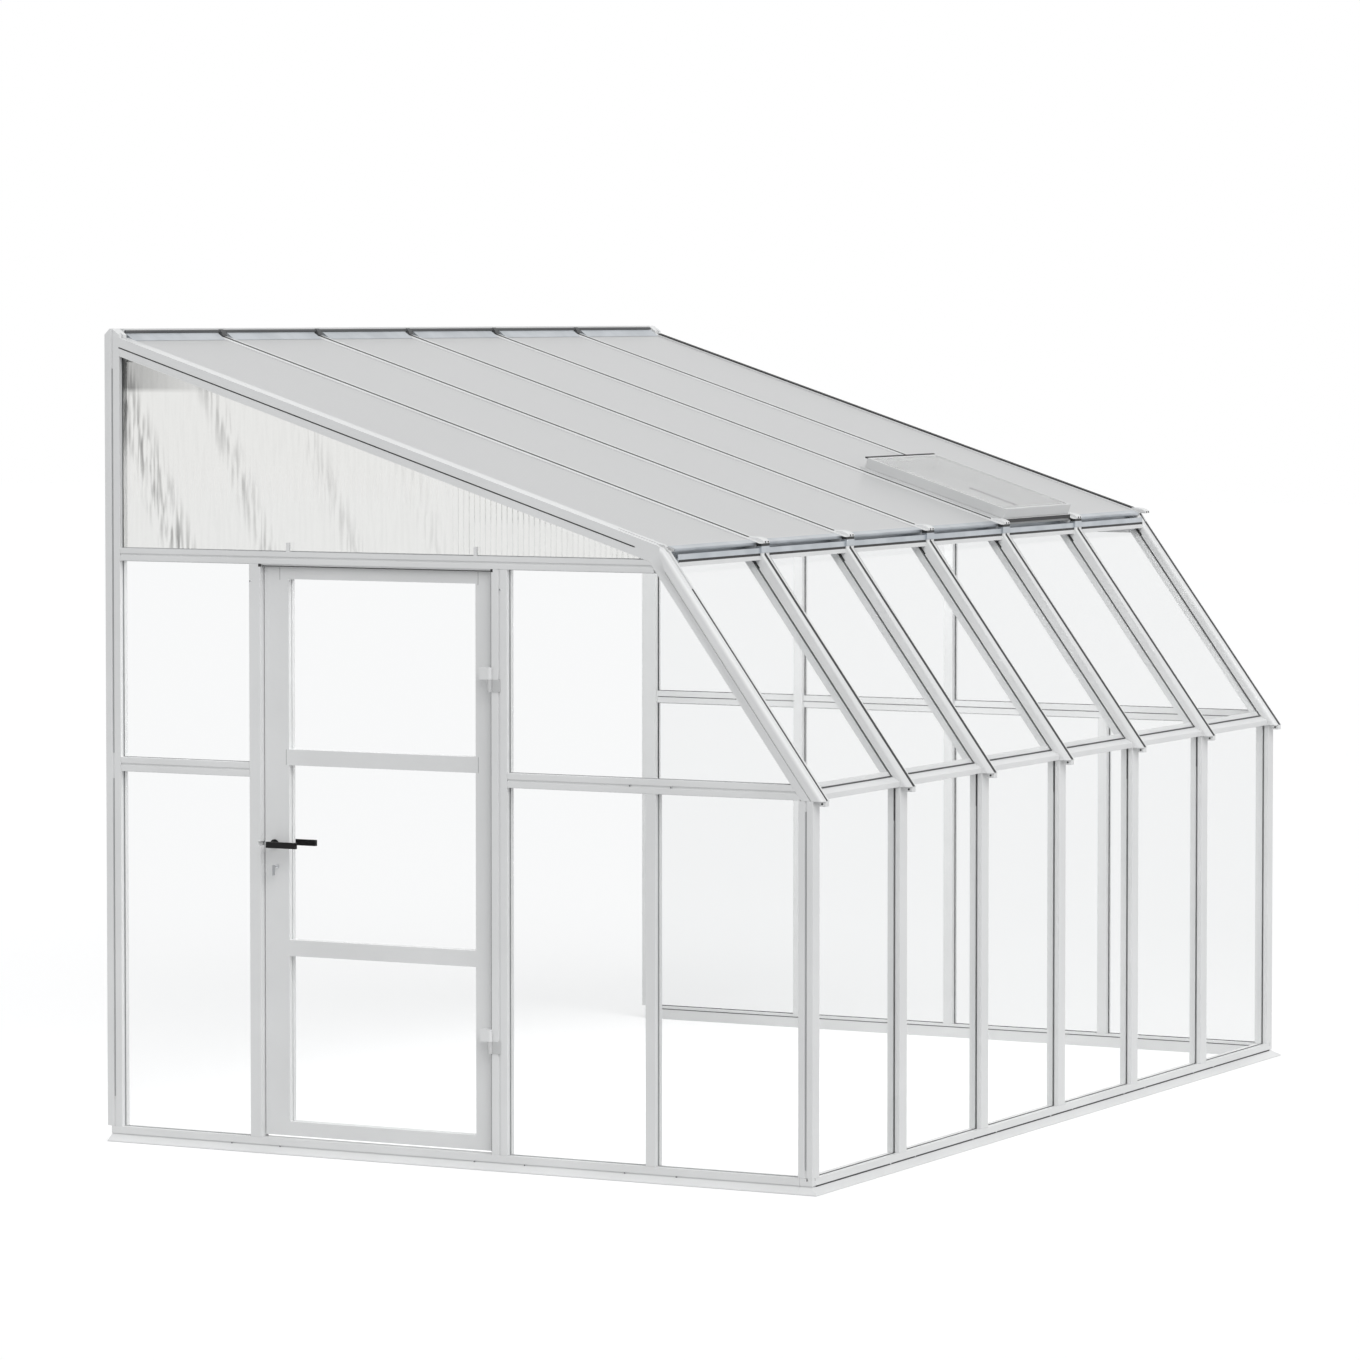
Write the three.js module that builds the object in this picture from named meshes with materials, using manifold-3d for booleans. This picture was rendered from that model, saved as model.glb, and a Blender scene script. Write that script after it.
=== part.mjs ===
// A lean-to greenhouse: a white framed glasshouse whose open back stands against a house wall.
// Six bays long, with a twin-wall roof, a clear slope below it, a door in the near gable and a
// roof vent. Millimetres, +Z up, +X along the wall, +Y towards the wall.
// Sections are drawn as [distance from the wall, height] and turned into the part's own frame.

import * as THREE from "three";
import { mergeVertices } from "three/addons/utils/BufferGeometryUtils.js";
import Module from "manifold-3d";

const wasm = await Module();
wasm.setup();

// Driving dimensions of the whole building.
const bayCount = 6;
const bayPitch = 634;
const ridgeGlassHeight = 2668;
const ridgeRise = 45;
const eaveDistance = 2065;
const eaveHeight = 2002;
const kneeGlassHeight = 1262;
const kneeDrop = 24;
const frontFace = 2629;
const kneeSetback = 25;
const doorHeadDrop = 60;

// Fits and glazing.
const fitGap = 0.3;
const overrun = 40;
const grooveDepth = 10;
const clearThickness = 4;
const twinWallThickness = 8;
const glassInset = 20;

// Frame profiles.
const profileDepth = 46;
const trimSlot = { width: 7, depth: 4 };
const base = { height: 50, flange: 26, flangeEdge: 4, flangeTop: 20, slotLow: 22, slotHigh: 26, wallGap: 15 };
const wallPost = { width: 58, shoulder: 20, capLow: 20, capHigh: 30 };
const cornerPost = { width: 51, depth: 49 };
const frontPostWidth = 55;
const gablePostWidth = 36;
const transomHeight = 42;
const midRail = { step: 2, height: 47, farDepth: 30 };
const knee = { front: 18, lipRun: 8 };
const rafter = { width: 58, inside: 27, roofOutside: 31, slopeOutside: 36, bendRadius: 70, bendSteps: 8 };
const rafterSlot = { width: 11, depth: 7 };
const wallRail = { depth: 40, plate: 8, height: 113 };
const gutter = { width: 58, backStep: 1, topDrop: 2, trough: 14, floor: 12, rail: 14, railWall: 13.6, wall: 3, nose: 4 };
const roofPanel = { low: 20, overhang: 38 };

// Near gable: the door opening and its posts, as distances from the wall.
const lockJamb = { start: 561, end: 603 };
const hingeJamb = { start: 1474, end: 1532 };
const gablePostSetback = 29;
const farPosts = { count: 3, first: 661, pitch: 639 };

// Door leaf.
const leaf = { lockGap: 3.5, hingeGap: 4, footGap: 8, headGap: 9, recess: 24, thickness: 40 };
const leafBars = { lockStile: 92, hingeStile: 67, top: 40, bottom: 47 };
const leafRail = { lowPanel: 547, lowHeight: 53, kneeRise: 43, highHeight: 52 };
const hinge = { fromFoot: 359, fromHead: 346, length: 78, barrelRadius: 8, pinRadius: 3.5, plate: 3, plateWidth: 28 };
const hingeArm = { width: 24, inset: 7 };
const lever = { height: 1020, fromEdge: 37, length: 113, tall: 20, thick: 12, reach: 50 };
const leverNeck = { radius: 6.5, rose: 15, roseThick: 6, tail: 5 };
const lock = { above: 35, below: 135, depth: 66, thickness: 18, wall: 3, inset: 36 };
const latch = { tall: 14, thickness: 10, throw: 10, length: 22 };
const deadBolt = { drop: 74, tall: 20, thickness: 10, throw: 14, length: 26 };
const keepSlack = 2.5;
const cylinder = { fromEdge: 46, radius: 7, stand: 4 };
const key = { width: 18, thick: 2.4, tall: 34, blade: 12, bladeTall: 6 };
const dropPin = { width: 11, tall: 29, inset: 2, lockFromJamb: 105, hingeFromJamb: 60 };

// Roof vent, in the fifth bay. Run is measured down the roof, rise square to it.
const bayCountBeforeVent = 4;
const ventCurb = { length: 596, overhang: 32, low: 18, thick: 22, bar: 34 };
const ventSash = { headStep: 16, footStep: 7, thick: 36.7, bar: 36, ledge: 12 };
const ventStay = { length: 240, width: 14, thick: 5, seat: 7 };
const ventHandle = { width: 14, thick: 6, drop: 46, gripWidth: 86, gripTall: 8, gripDepth: 10 };

// Small facets of round pieces, and how near two corners must be to count as one.
const roundSides = 16;
const mergeDistance = 0.001;

// Derived places.
const halfLength = (bayCount * bayPitch + rafter.width) / 2;
const rafterCentres = Array.from({ length: bayCount + 1 }, (_, i) => (i - bayCount / 2) * bayPitch);
const glassDistance = frontFace - glassInset;
const innerFace = frontFace - profileDepth;
const paneReach = grooveDepth - fitGap;
const ridgeTop = ridgeGlassHeight + ridgeRise;
const wallRailLow = ridgeTop - wallRail.height;
const kneeDistance = frontFace - kneeSetback;
const kneeHeight = kneeGlassHeight - kneeDrop;
const doorHeadHeight = eaveHeight - doorHeadDrop;
const transomTop = doorHeadHeight + transomHeight;
const midRailLow = kneeHeight + midRail.step;
const midRailHigh = midRailLow + midRail.height;
const gablePostStart = eaveDistance - gablePostSetback;
const farPostStarts = Array.from({ length: farPosts.count }, (_, i) => farPosts.first + i * farPosts.pitch);
const leafLow = base.height + leaf.footGap;
const leafHigh = doorHeadHeight - leaf.headGap;
const hingeHeights = [leafLow + hinge.fromFoot, leafHigh - hinge.fromHead];
const deadBoltHeight = lever.height - deadBolt.drop;

// The two glazing lines of the roof: run along the line, rise square to it and outwards.
function lineFrame(startD, startZ, endD, endZ) {
  const run = Math.hypot(endD - startD, endZ - startZ);
  const alongD = (endD - startD) / run;
  const alongZ = (endZ - startZ) / run;
  return { startD, startZ, alongD, alongZ, outD: Math.abs(alongZ), outZ: Math.abs(alongD), run };
}

const roofLine = lineFrame(0, ridgeGlassHeight, eaveDistance, eaveHeight);
const slopeLine = lineFrame(kneeDistance, kneeGlassHeight, eaveDistance, eaveHeight);
const roofPanelEnd = roofLine.run + roofPanel.overhang;
const ventCurbEnd = roofLine.run + ventCurb.overhang;
const ventCurbStart = ventCurbEnd - ventCurb.length;
const ventCurbHigh = ventCurb.low + ventCurb.thick;
const ventSashStart = ventCurbStart + ventSash.headStep;
const ventSashEnd = ventCurbEnd - ventSash.footStep;
const ventSashLow = ventCurbHigh + fitGap;
const ventSashHigh = ventSashLow + ventSash.thick;

function onLine(line, run, rise) {
  return [
    line.startD + line.alongD * run + line.outD * rise,
    line.startZ + line.alongZ * run + line.outZ * rise,
  ];
}

function atDistance(line, distance, rise) {
  const run = (distance - line.startD - line.outD * rise) / line.alongD;
  return onLine(line, run, rise);
}

function atHeight(line, height, rise) {
  const run = (height - line.startZ - line.outZ * rise) / line.alongZ;
  return onLine(line, run, rise);
}

// Where the roof line raised by one rise meets the slope line raised by another.
function eaveCorner(roofRise, slopeRise) {
  const [roofD, roofZ] = onLine(roofLine, 0, roofRise);
  const [slopeD, slopeZ] = onLine(slopeLine, 0, slopeRise);
  const cross = roofLine.alongD * slopeLine.alongZ - roofLine.alongZ * slopeLine.alongD;
  const run = ((slopeD - roofD) * slopeLine.alongZ - (slopeZ - roofZ) * slopeLine.alongD) / cross;
  return onLine(roofLine, run, roofRise);
}

// Edges of the gutter beam. Its back wall stands up to just under the vent curb.
const gutterBack = eaveDistance + gutter.backStep;
const gutterFront = gutterBack + gutter.width;
const gutterTop = eaveHeight - gutter.topDrop;
const gutterFloor = gutterTop - gutter.trough;
const gutterUnderside = gutterFloor - gutter.floor;
const gutterLow = gutterUnderside - gutter.rail;
const gutterGroove = clearThickness / 2 + fitGap;
const gutterRailFront = atHeight(slopeLine, gutterLow, gutterGroove)[0] + gutter.railWall;
const gutterUpstand = atDistance(roofLine, gutterBack + gutter.wall, ventCurb.low)[1] - fitGap;

// The rafter tips reach furthest from the wall, so they set the middle of the depth.
const tipDistance = atHeight(slopeLine, kneeHeight, rafter.slopeOutside)[0];
const wallY = tipDistance / 2;

function toY(distance) {
  return wallY - distance;
}

// A depth behind the outer face of a gable, as an X place. Side is -1 near the door, 1 far.
function gableX(side, depth) {
  return side * (halfLength - depth);
}

// Solids.
function solidOf(geometry) {
  const bare = geometry.index ? geometry.toNonIndexed() : geometry.clone();
  bare.deleteAttribute("normal");
  bare.deleteAttribute("uv");
  const merged = mergeVertices(bare, mergeDistance);
  return new wasm.Manifold(
    new wasm.Mesh({
      numProp: 3,
      vertProperties: new Float32Array(merged.attributes.position.array),
      triVerts: new Uint32Array(merged.index.array),
    }),
  );
}

function extruded(points, depth, basis, offset) {
  const shape = new THREE.Shape(points.map(([u, v]) => new THREE.Vector2(u, v)));
  const geometry = new THREE.ExtrudeGeometry(shape, { depth, bevelEnabled: false });
  geometry.applyMatrix4(new THREE.Matrix4().makeBasis(...basis));
  geometry.translate(...offset);
  return solidOf(geometry);
}

const axisX = new THREE.Vector3(1, 0, 0);
const axisY = new THREE.Vector3(0, 1, 0);
const axisZ = new THREE.Vector3(0, 0, 1);

// A section of [distance, height] points, run along X.
function alongX(points, x0, x1) {
  const low = Math.min(x0, x1);
  const section = points.map(([distance, height]) => [toY(distance), height]);
  return extruded(section, Math.abs(x1 - x0), [axisY, axisZ, axisX], [low, 0, 0]);
}

// A section of [x, height] points, run between two distances from the wall.
function alongY(points, distance0, distance1) {
  const low = Math.min(toY(distance0), toY(distance1));
  const section = points.map(([x, height]) => [height, x]);
  return extruded(section, Math.abs(distance1 - distance0), [axisZ, axisX, axisY], [0, low, 0]);
}

// A section of [x, distance] points, run upwards.
function alongZ(points, z0, z1) {
  const section = points.map(([x, distance]) => [x, toY(distance)]);
  return extruded(section, z1 - z0, [axisX, axisY, axisZ], [0, 0, z0]);
}

function rectangle(u0, u1, v0, v1) {
  return [
    [u0, v0],
    [u1, v0],
    [u1, v1],
    [u0, v1],
  ];
}

function block(x0, x1, distance0, distance1, z0, z1) {
  return alongZ(rectangle(x0, x1, distance0, distance1), z0, z1);
}

// A round bar from one X to another, or standing on Z.
function roundAlongX(radius, x0, x1, distance, height) {
  const geometry = new THREE.CylinderGeometry(radius, radius, Math.abs(x1 - x0), roundSides);
  geometry.rotateZ(Math.PI / 2);
  geometry.translate((x0 + x1) / 2, toY(distance), height);
  return solidOf(geometry);
}

function roundAlongZ(radius, x, distance, z0, z1) {
  const geometry = new THREE.CylinderGeometry(radius, radius, z1 - z0, roundSides);
  geometry.rotateX(Math.PI / 2);
  geometry.translate(x, toY(distance), (z0 + z1) / 2);
  return solidOf(geometry);
}

function joined(...solids) {
  return solids.reduce((sum, solid) => sum.add(solid));
}

function without(solid, ...cuts) {
  return cuts.reduce((rest, cut) => rest.subtract(cut), solid);
}

// Finishes.
const finishes = {
  frame: { color: 0xe9eaea, roughness: 0.42, metalness: 0 },
  twinWall: { color: 0xd3d6d7, roughness: 0.35, metalness: 0 },
  fluted: { color: 0xeceae4, roughness: 0.25, metalness: 0 },
  clear: { color: 0xf4f6f6, roughness: 0.05, metalness: 0 },
  gutter: { color: 0xa3abb2, roughness: 0.4, metalness: 0.4 },
  black: { color: 0x111111, roughness: 0.45, metalness: 0 },
  steel: { color: 0xb6b9bc, roughness: 0.3, metalness: 1 },
};

const greenhouse = new THREE.Group();

function addPart(name, solid, finish) {
  const mesh = solid.getMesh();
  const geometry = new THREE.BufferGeometry();
  geometry.setAttribute("position", new THREE.BufferAttribute(new Float32Array(mesh.vertProperties), 3));
  geometry.setIndex(new THREE.BufferAttribute(new Uint32Array(mesh.triVerts), 1));
  const flat = geometry.toNonIndexed();
  flat.computeVertexNormals();
  const part = new THREE.Mesh(flat, new THREE.MeshStandardMaterial(finishes[finish]));
  part.name = name;
  greenhouse.add(part);
}

// Profile of a frame bar as [across, depth]: a trim slot down the middle of the outer face, and
// a glazing groove in the low side, the high side or both.
function barSection(width, depth, { slot = false, low = false, high = false } = {}) {
  const middle = width / 2;
  const half = trimSlot.width / 2;
  const grooveNear = glassInset - clearThickness / 2 - fitGap;
  const grooveFar = glassInset + clearThickness / 2 + fitGap;
  const points = [[0, 0]];
  if (slot) {
    points.push([middle - half, 0], [middle - half, trimSlot.depth]);
    points.push([middle + half, trimSlot.depth], [middle + half, 0]);
  }
  points.push([width, 0]);
  if (high) {
    points.push([width, grooveNear], [width - grooveDepth, grooveNear]);
    points.push([width - grooveDepth, grooveFar], [width, grooveFar]);
  }
  points.push([width, depth], [0, depth]);
  if (low) {
    points.push([0, grooveFar], [grooveDepth, grooveFar]);
    points.push([grooveDepth, grooveNear], [0, grooveNear]);
  }
  return points;
}

// Gable bars: a post stands between two heights, a rail runs between two distances.
function gablePost(side, start, width, z0, z1, grooves, depth = profileDepth) {
  const section = barSection(width, depth, grooves);
  return alongZ(section.map(([across, inward]) => [gableX(side, inward), start + across]), z0, z1);
}

function gableRail(side, low, height, distance0, distance1, grooves, depth = profileDepth) {
  const section = barSection(height, depth, grooves);
  return alongY(section.map(([up, inward]) => [gableX(side, inward), low + up]), distance0, distance1);
}

// Rafters: one bar bent at the eave, seen from the side.
function roundedCorner(before, corner, after, radius, steps) {
  const inward = new THREE.Vector2(before[0] - corner[0], before[1] - corner[1]).normalize();
  const outward = new THREE.Vector2(after[0] - corner[0], after[1] - corner[1]).normalize();
  const half = Math.acos(inward.dot(outward)) / 2;
  const setback = radius / Math.tan(half);
  const middle = inward.clone().add(outward).normalize().multiplyScalar(radius / Math.sin(half));
  const centre = new THREE.Vector2(corner[0], corner[1]).add(middle);
  const from = new THREE.Vector2(corner[0], corner[1]).addScaledVector(inward, setback).sub(centre);
  const turn = Math.PI - 2 * half;
  const side = Math.sign(inward.cross(outward));
  return Array.from({ length: steps + 1 }, (_, i) => {
    const spoke = from.clone().rotateAround(new THREE.Vector2(), (-side * turn * i) / steps);
    return [centre.x + spoke.x, centre.y + spoke.y];
  });
}

function rafterOutline(start, inside, roofOutside, slopeOutside, foot) {
  const topOuter = atDistance(roofLine, start, roofOutside);
  const footOuter = atHeight(slopeLine, foot, slopeOutside);
  const bend = eaveCorner(roofOutside, slopeOutside);
  return [
    atDistance(roofLine, start, -inside),
    topOuter,
    ...roundedCorner(topOuter, bend, footOuter, rafter.bendRadius, rafter.bendSteps),
    footOuter,
    atHeight(slopeLine, foot, -inside),
    eaveCorner(-inside, -inside),
  ];
}

function roofStrip(low, high, start, end) {
  return [
    onLine(roofLine, start, low),
    onLine(roofLine, end, low),
    onLine(roofLine, end, high),
    onLine(roofLine, start, high),
  ];
}

function slopeStrip(low, high, start, end) {
  return [
    onLine(slopeLine, start, low),
    onLine(slopeLine, end, low),
    onLine(slopeLine, end, high),
    onLine(slopeLine, start, high),
  ];
}

// The slot that runs down the outer face of every rafter, over roof and slope.
function rafterSlotCut(centre) {
  const x0 = centre - rafterSlot.width / 2;
  const x1 = centre + rafterSlot.width / 2;
  const roofFloor = rafter.roofOutside - rafterSlot.depth;
  const slopeFloor = rafter.slopeOutside - rafterSlot.depth;
  const outer = rafter.slopeOutside + overrun;
  const outline = [
    onLine(roofLine, -overrun, roofFloor),
    eaveCorner(roofFloor, slopeFloor),
    onLine(slopeLine, -rafter.bendRadius, slopeFloor),
    onLine(slopeLine, -rafter.bendRadius, outer),
    eaveCorner(outer, outer),
    onLine(roofLine, -overrun, outer),
  ];
  return alongX(outline, x0, x1);
}

// Grooves in one flank of a rafter for the roof panel and the slope pane beside it.
function rafterFlankCut(centre, side) {
  const flank = centre + side * (rafter.width / 2);
  const x0 = flank + side * overrun;
  const x1 = flank - side * grooveDepth;
  const panelLow = roofPanel.low - fitGap;
  const panelHigh = roofPanel.low + twinWallThickness + fitGap;
  const half = clearThickness / 2 + fitGap;
  return joined(
    alongX(roofStrip(panelLow, panelHigh, -overrun, roofPanelEnd + overrun), x0, x1),
    alongX(slopeStrip(-half, half, -overrun, slopeLine.run), x0, x1),
  );
}

// Under the gable rafters the end panels and panes stand in grooves, and a trim line is cut
// in the outer face.
function gableRafterCuts(side) {
  const twinNear = glassInset - twinWallThickness / 2 - fitGap;
  const twinFar = glassInset + twinWallThickness / 2 + fitGap;
  const clearNear = glassInset - clearThickness / 2 - fitGap;
  const clearFar = glassInset + clearThickness / 2 + fitGap;
  const under = -rafter.inside - overrun;
  const top = grooveDepth - rafter.inside;
  const half = trimSlot.depth / 2;
  const outside = gableX(side, -overrun);
  const trimFloor = gableX(side, trimSlot.depth);
  return joined(
    alongX(roofStrip(under, top, -overrun, roofLine.run), gableX(side, twinNear), gableX(side, twinFar)),
    alongX(slopeStrip(under, top, -overrun, slopeLine.run), gableX(side, clearNear), gableX(side, clearFar)),
    alongX(roofStrip(-half, half, -overrun, roofLine.run - rafter.bendRadius), outside, trimFloor),
    alongX(slopeStrip(-half, half, -overrun, slopeLine.run - rafter.bendRadius), outside, trimFloor),
  );
}

// Knee rail section: a front face, a slanted top under the slope glass, and grooves for the
// slope glass above and the front glass below.
function kneeSection(extra = 0) {
  const half = clearThickness / 2 + fitGap;
  const lip = onLine(slopeLine, knee.lipRun, half);
  const inner = atDistance(slopeLine, innerFace, -half);
  if (extra) {
    return [
      [innerFace - extra, kneeHeight - extra],
      [frontFace + extra, kneeHeight - extra],
      [frontFace + extra, kneeHeight + knee.front + extra],
      [lip[0] + extra, lip[1] + extra],
      [lip[0] - half, lip[1] + half],
      [innerFace - extra, inner[1] + half],
    ];
  }
  return [
    [innerFace, kneeHeight],
    [glassDistance - half, kneeHeight],
    [glassDistance - half, kneeHeight + grooveDepth],
    [glassDistance + half, kneeHeight + grooveDepth],
    [glassDistance + half, kneeHeight],
    [frontFace, kneeHeight],
    [frontFace, kneeHeight + knee.front],
    lip,
    onLine(slopeLine, knee.lipRun - grooveDepth, half),
    onLine(slopeLine, knee.lipRun - grooveDepth, -half),
    inner,
  ];
}

// Gutter beam section: a trough under the edge of the roof panels, on a rail that holds the
// top edge of the slope glass.
function gutterSection() {
  const inner = gutterBack + gutter.wall;
  return [
    [gutterFront, gutterTop],
    [gutterFront - gutter.wall, gutterTop],
    [gutterFront - gutter.wall, gutterFloor],
    [inner, gutterFloor],
    [inner, gutterUpstand],
    [gutterBack, gutterUpstand],
    [gutterBack, gutterLow],
    atHeight(slopeLine, gutterLow, -gutterGroove),
    atHeight(slopeLine, gutterLow + grooveDepth, -gutterGroove),
    atHeight(slopeLine, gutterLow + grooveDepth, gutterGroove),
    atHeight(slopeLine, gutterLow, gutterGroove),
    [gutterRailFront, gutterLow],
    [gutterRailFront, gutterUnderside],
    [gutterFront, gutterUnderside],
  ];
}

function gutterRoom() {
  return [
    [gutterBack - fitGap, gutterLow - fitGap],
    [gutterRailFront + fitGap, gutterLow - fitGap],
    [gutterRailFront + fitGap, gutterUnderside - fitGap],
    [gutterFront + fitGap, gutterUnderside - fitGap],
    [gutterFront + fitGap, gutterTop + fitGap],
    [gutterBack + gutter.wall + fitGap, gutterTop + fitGap],
    [gutterBack + gutter.wall + fitGap, gutterUpstand + fitGap],
    [gutterBack - fitGap, gutterUpstand + fitGap],
  ];
}

// A gable rafter stands on the corner post and butts the wall post.
function gableRafter(side) {
  const centre = side * (halfLength - rafter.width / 2);
  const outline = rafterOutline(
    wallPost.width + fitGap,
    rafter.inside,
    rafter.roofOutside,
    rafter.slopeOutside,
    kneeHeight,
  );
  return without(
    alongX(outline, centre - rafter.width / 2, centre + rafter.width / 2),
    rafterSlotCut(centre),
    rafterFlankCut(centre, -side),
    gableRafterCuts(side),
  );
}

// A middle rafter butts the wall rail, passes over the gutter beam with a short nose, and is
// notched over the knee rail.
function middleRafter(centre) {
  const start = wallRail.plate + fitGap;
  const noseTop = atDistance(roofLine, gutterFront + gutter.nose, rafter.roofOutside);
  const noseLow = atDistance(slopeLine, gutterFront + gutter.nose, rafter.slopeOutside);
  const outline = [
    atDistance(roofLine, start, -rafter.inside),
    atDistance(roofLine, start, rafter.roofOutside),
    noseTop,
    noseLow,
    atHeight(slopeLine, kneeHeight, rafter.slopeOutside),
    atHeight(slopeLine, kneeHeight, -rafter.inside),
    eaveCorner(-rafter.inside, -rafter.inside),
  ];
  const x0 = centre - rafter.width / 2;
  const x1 = centre + rafter.width / 2;
  return without(
    alongX(outline, x0, x1),
    alongX(gutterRoom(), x0 - overrun, x1 + overrun),
    alongX(kneeSection(fitGap), x0 - overrun, x1 + overrun),
    rafterSlotCut(centre),
    rafterFlankCut(centre, -1),
    rafterFlankCut(centre, 1),
  );
}

// Base rails: a channel with a sloping outer flange that rests on the ground.
function baseSection() {
  const half = clearThickness / 2 + fitGap;
  return [
    [-base.flange, 0],
    [-base.flange, base.flangeEdge],
    [0, base.flangeTop],
    [0, base.slotLow],
    [trimSlot.depth, base.slotLow],
    [trimSlot.depth, base.slotHigh],
    [0, base.slotHigh],
    [0, base.height],
    [glassInset - half, base.height],
    [glassInset - half, base.height - grooveDepth],
    [glassInset + half, base.height - grooveDepth],
    [glassInset + half, base.height],
    [profileDepth, base.height],
    [profileDepth, 0],
  ];
}

function frontBaseRun(x0, x1) {
  return alongX(baseSection().map(([inward, up]) => [frontFace - inward, up]), x0, x1);
}

function gableBaseRun(side, distance0, distance1) {
  return alongY(baseSection().map(([inward, up]) => [gableX(side, inward), up]), distance0, distance1);
}

function baseRails() {
  const corners = [-1, 1].map((side) =>
    frontBaseRun(gableX(side, -base.flange), gableX(side, profileDepth)).intersect(
      gableBaseRun(side, frontFace + base.flange, innerFace),
    ),
  );
  const run = frontBaseRun(gableX(-1, profileDepth), gableX(1, profileDepth));
  addPart("base_rail_front", joined(run, ...corners), "frame");
  addPart("base_rail_near", gableBaseRun(-1, base.wallGap, innerFace - fitGap), "frame");
  addPart("base_rail_far", gableBaseRun(1, base.wallGap, innerFace - fitGap), "frame");
}

// Wall posts rise past the roof and end in a chamfered cap. The wall rail joins them.
function wallFrame() {
  const low = base.height;
  const shoulder = ridgeTop - wallPost.shoulder;
  const cap = [
    [0, low],
    [0, shoulder],
    [wallPost.capLow, ridgeTop],
    [wallPost.capHigh, ridgeTop],
    [wallPost.width, shoulder],
    [wallPost.width, low],
  ];
  for (const [side, name] of [
    [-1, "wall_post_near"],
    [1, "wall_post_far"],
  ]) {
    const bar = gablePost(side, 0, wallPost.width, low, ridgeTop, { slot: true, high: true });
    const silhouette = alongX(cap, gableX(side, -overrun), gableX(side, profileDepth + overrun));
    // Above the transom the groove is opened to the thickness of the end panel.
    const half = twinWallThickness / 2 + fitGap;
    const panelGroove = block(
      gableX(side, glassInset - half),
      gableX(side, glassInset + half),
      wallPost.width - grooveDepth,
      wallPost.width + overrun,
      transomTop - grooveDepth,
      ridgeTop - grooveDepth,
    );
    addPart(name, without(bar.intersect(silhouette), panelGroove), "frame");
  }
  const under = rafter.roofOutside + fitGap;
  const section = [
    [0, wallRailLow],
    [0, ridgeTop],
    [wallRail.depth, ridgeTop],
    atDistance(roofLine, wallRail.depth, under),
    atDistance(roofLine, wallRail.plate, under),
    [wallRail.plate, wallRailLow],
  ];
  const end = halfLength - rafter.width;
  addPart("wall_rail", alongX(section, -end + fitGap, end - fitGap), "frame");
}

// Corner posts carry the front glass on one side and the gable glass on the other.
function cornerPosts() {
  const near = glassInset - clearThickness / 2 - fitGap;
  const far = glassInset + clearThickness / 2 + fitGap;
  const inner = cornerPost.depth;
  const back = cornerPost.width;
  const middle = back / 2;
  const half = trimSlot.width / 2;
  const section = [
    [0, 0],
    [inner, 0],
    [inner, near],
    [inner - grooveDepth, near],
    [inner - grooveDepth, far],
    [inner, far],
    [inner, back],
    [far, back],
    [far, back - grooveDepth],
    [near, back - grooveDepth],
    [near, back],
    [0, back],
    [0, middle + half],
    [trimSlot.depth, middle + half],
    [trimSlot.depth, middle - half],
    [0, middle - half],
  ];
  for (const [side, name] of [
    [-1, "corner_post_near"],
    [1, "corner_post_far"],
  ]) {
    const outline = section.map(([inward, behind]) => [gableX(side, inward), frontFace - behind]);
    addPart(name, alongZ(outline, base.height, kneeHeight), "frame");
  }
}

function frontWall() {
  rafterCentres.slice(1, -1).forEach((centre, i) => {
    const section = barSection(frontPostWidth, profileDepth, { low: true, high: true });
    const outline = section.map(([across, inward]) => [
      centre - frontPostWidth / 2 + across,
      frontFace - inward,
    ]);
    addPart("front_post_" + (i + 1), alongZ(outline, base.height, kneeHeight), "frame");
  });
  const end = halfLength - rafter.width - fitGap;
  addPart("knee_rail", alongX(kneeSection(), -end, end), "frame");
  addPart("eave_gutter", alongX(gutterSection(), -end, end), "gutter");
}

function rafters() {
  rafterCentres.forEach((centre, i) => {
    const isGable = i === 0 || i === bayCount;
    const solid = isGable ? gableRafter(Math.sign(centre)) : middleRafter(centre);
    addPart("rafter_" + (i + 1), solid, "frame");
  });
}

// Room that a gable rafter takes up, for the rails that run into it.
function gableRafterRoom(side) {
  const outline = rafterOutline(
    wallPost.width,
    rafter.inside + fitGap,
    rafter.roofOutside,
    rafter.slopeOutside,
    kneeHeight - overrun,
  );
  return alongX(outline, gableX(side, -overrun), gableX(side, rafter.width + overrun));
}

function transom(side) {
  const start = wallPost.width + fitGap;
  const rail = gableRail(side, doorHeadHeight, transomHeight, start, eaveDistance, {
    slot: true,
    low: true,
    high: true,
  });
  // The upper groove is opened to the thickness of the end panel.
  const half = twinWallThickness / 2 + fitGap;
  const groove = alongY(
    rectangle(
      gableX(side, glassInset - half),
      gableX(side, glassInset + half),
      transomTop - grooveDepth,
      transomTop + overrun,
    ),
    0,
    eaveDistance,
  );
  return without(rail, groove, gableRafterRoom(side));
}

// Keep in the lock jamb for one bolt. The latch's keep runs out to the jamb's outer face, so
// that the latch can leave it as the door swings.
function keepCut(bolt, height, outerDepth) {
  const half = bolt.tall / 2 + fitGap;
  return block(
    gableX(-1, outerDepth),
    gableX(-1, lock.inset + bolt.thickness / 2 + fitGap),
    lockJamb.end + overrun,
    lockJamb.end + leaf.lockGap - bolt.throw - keepSlack,
    height - half,
    height + half,
  );
}

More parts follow.
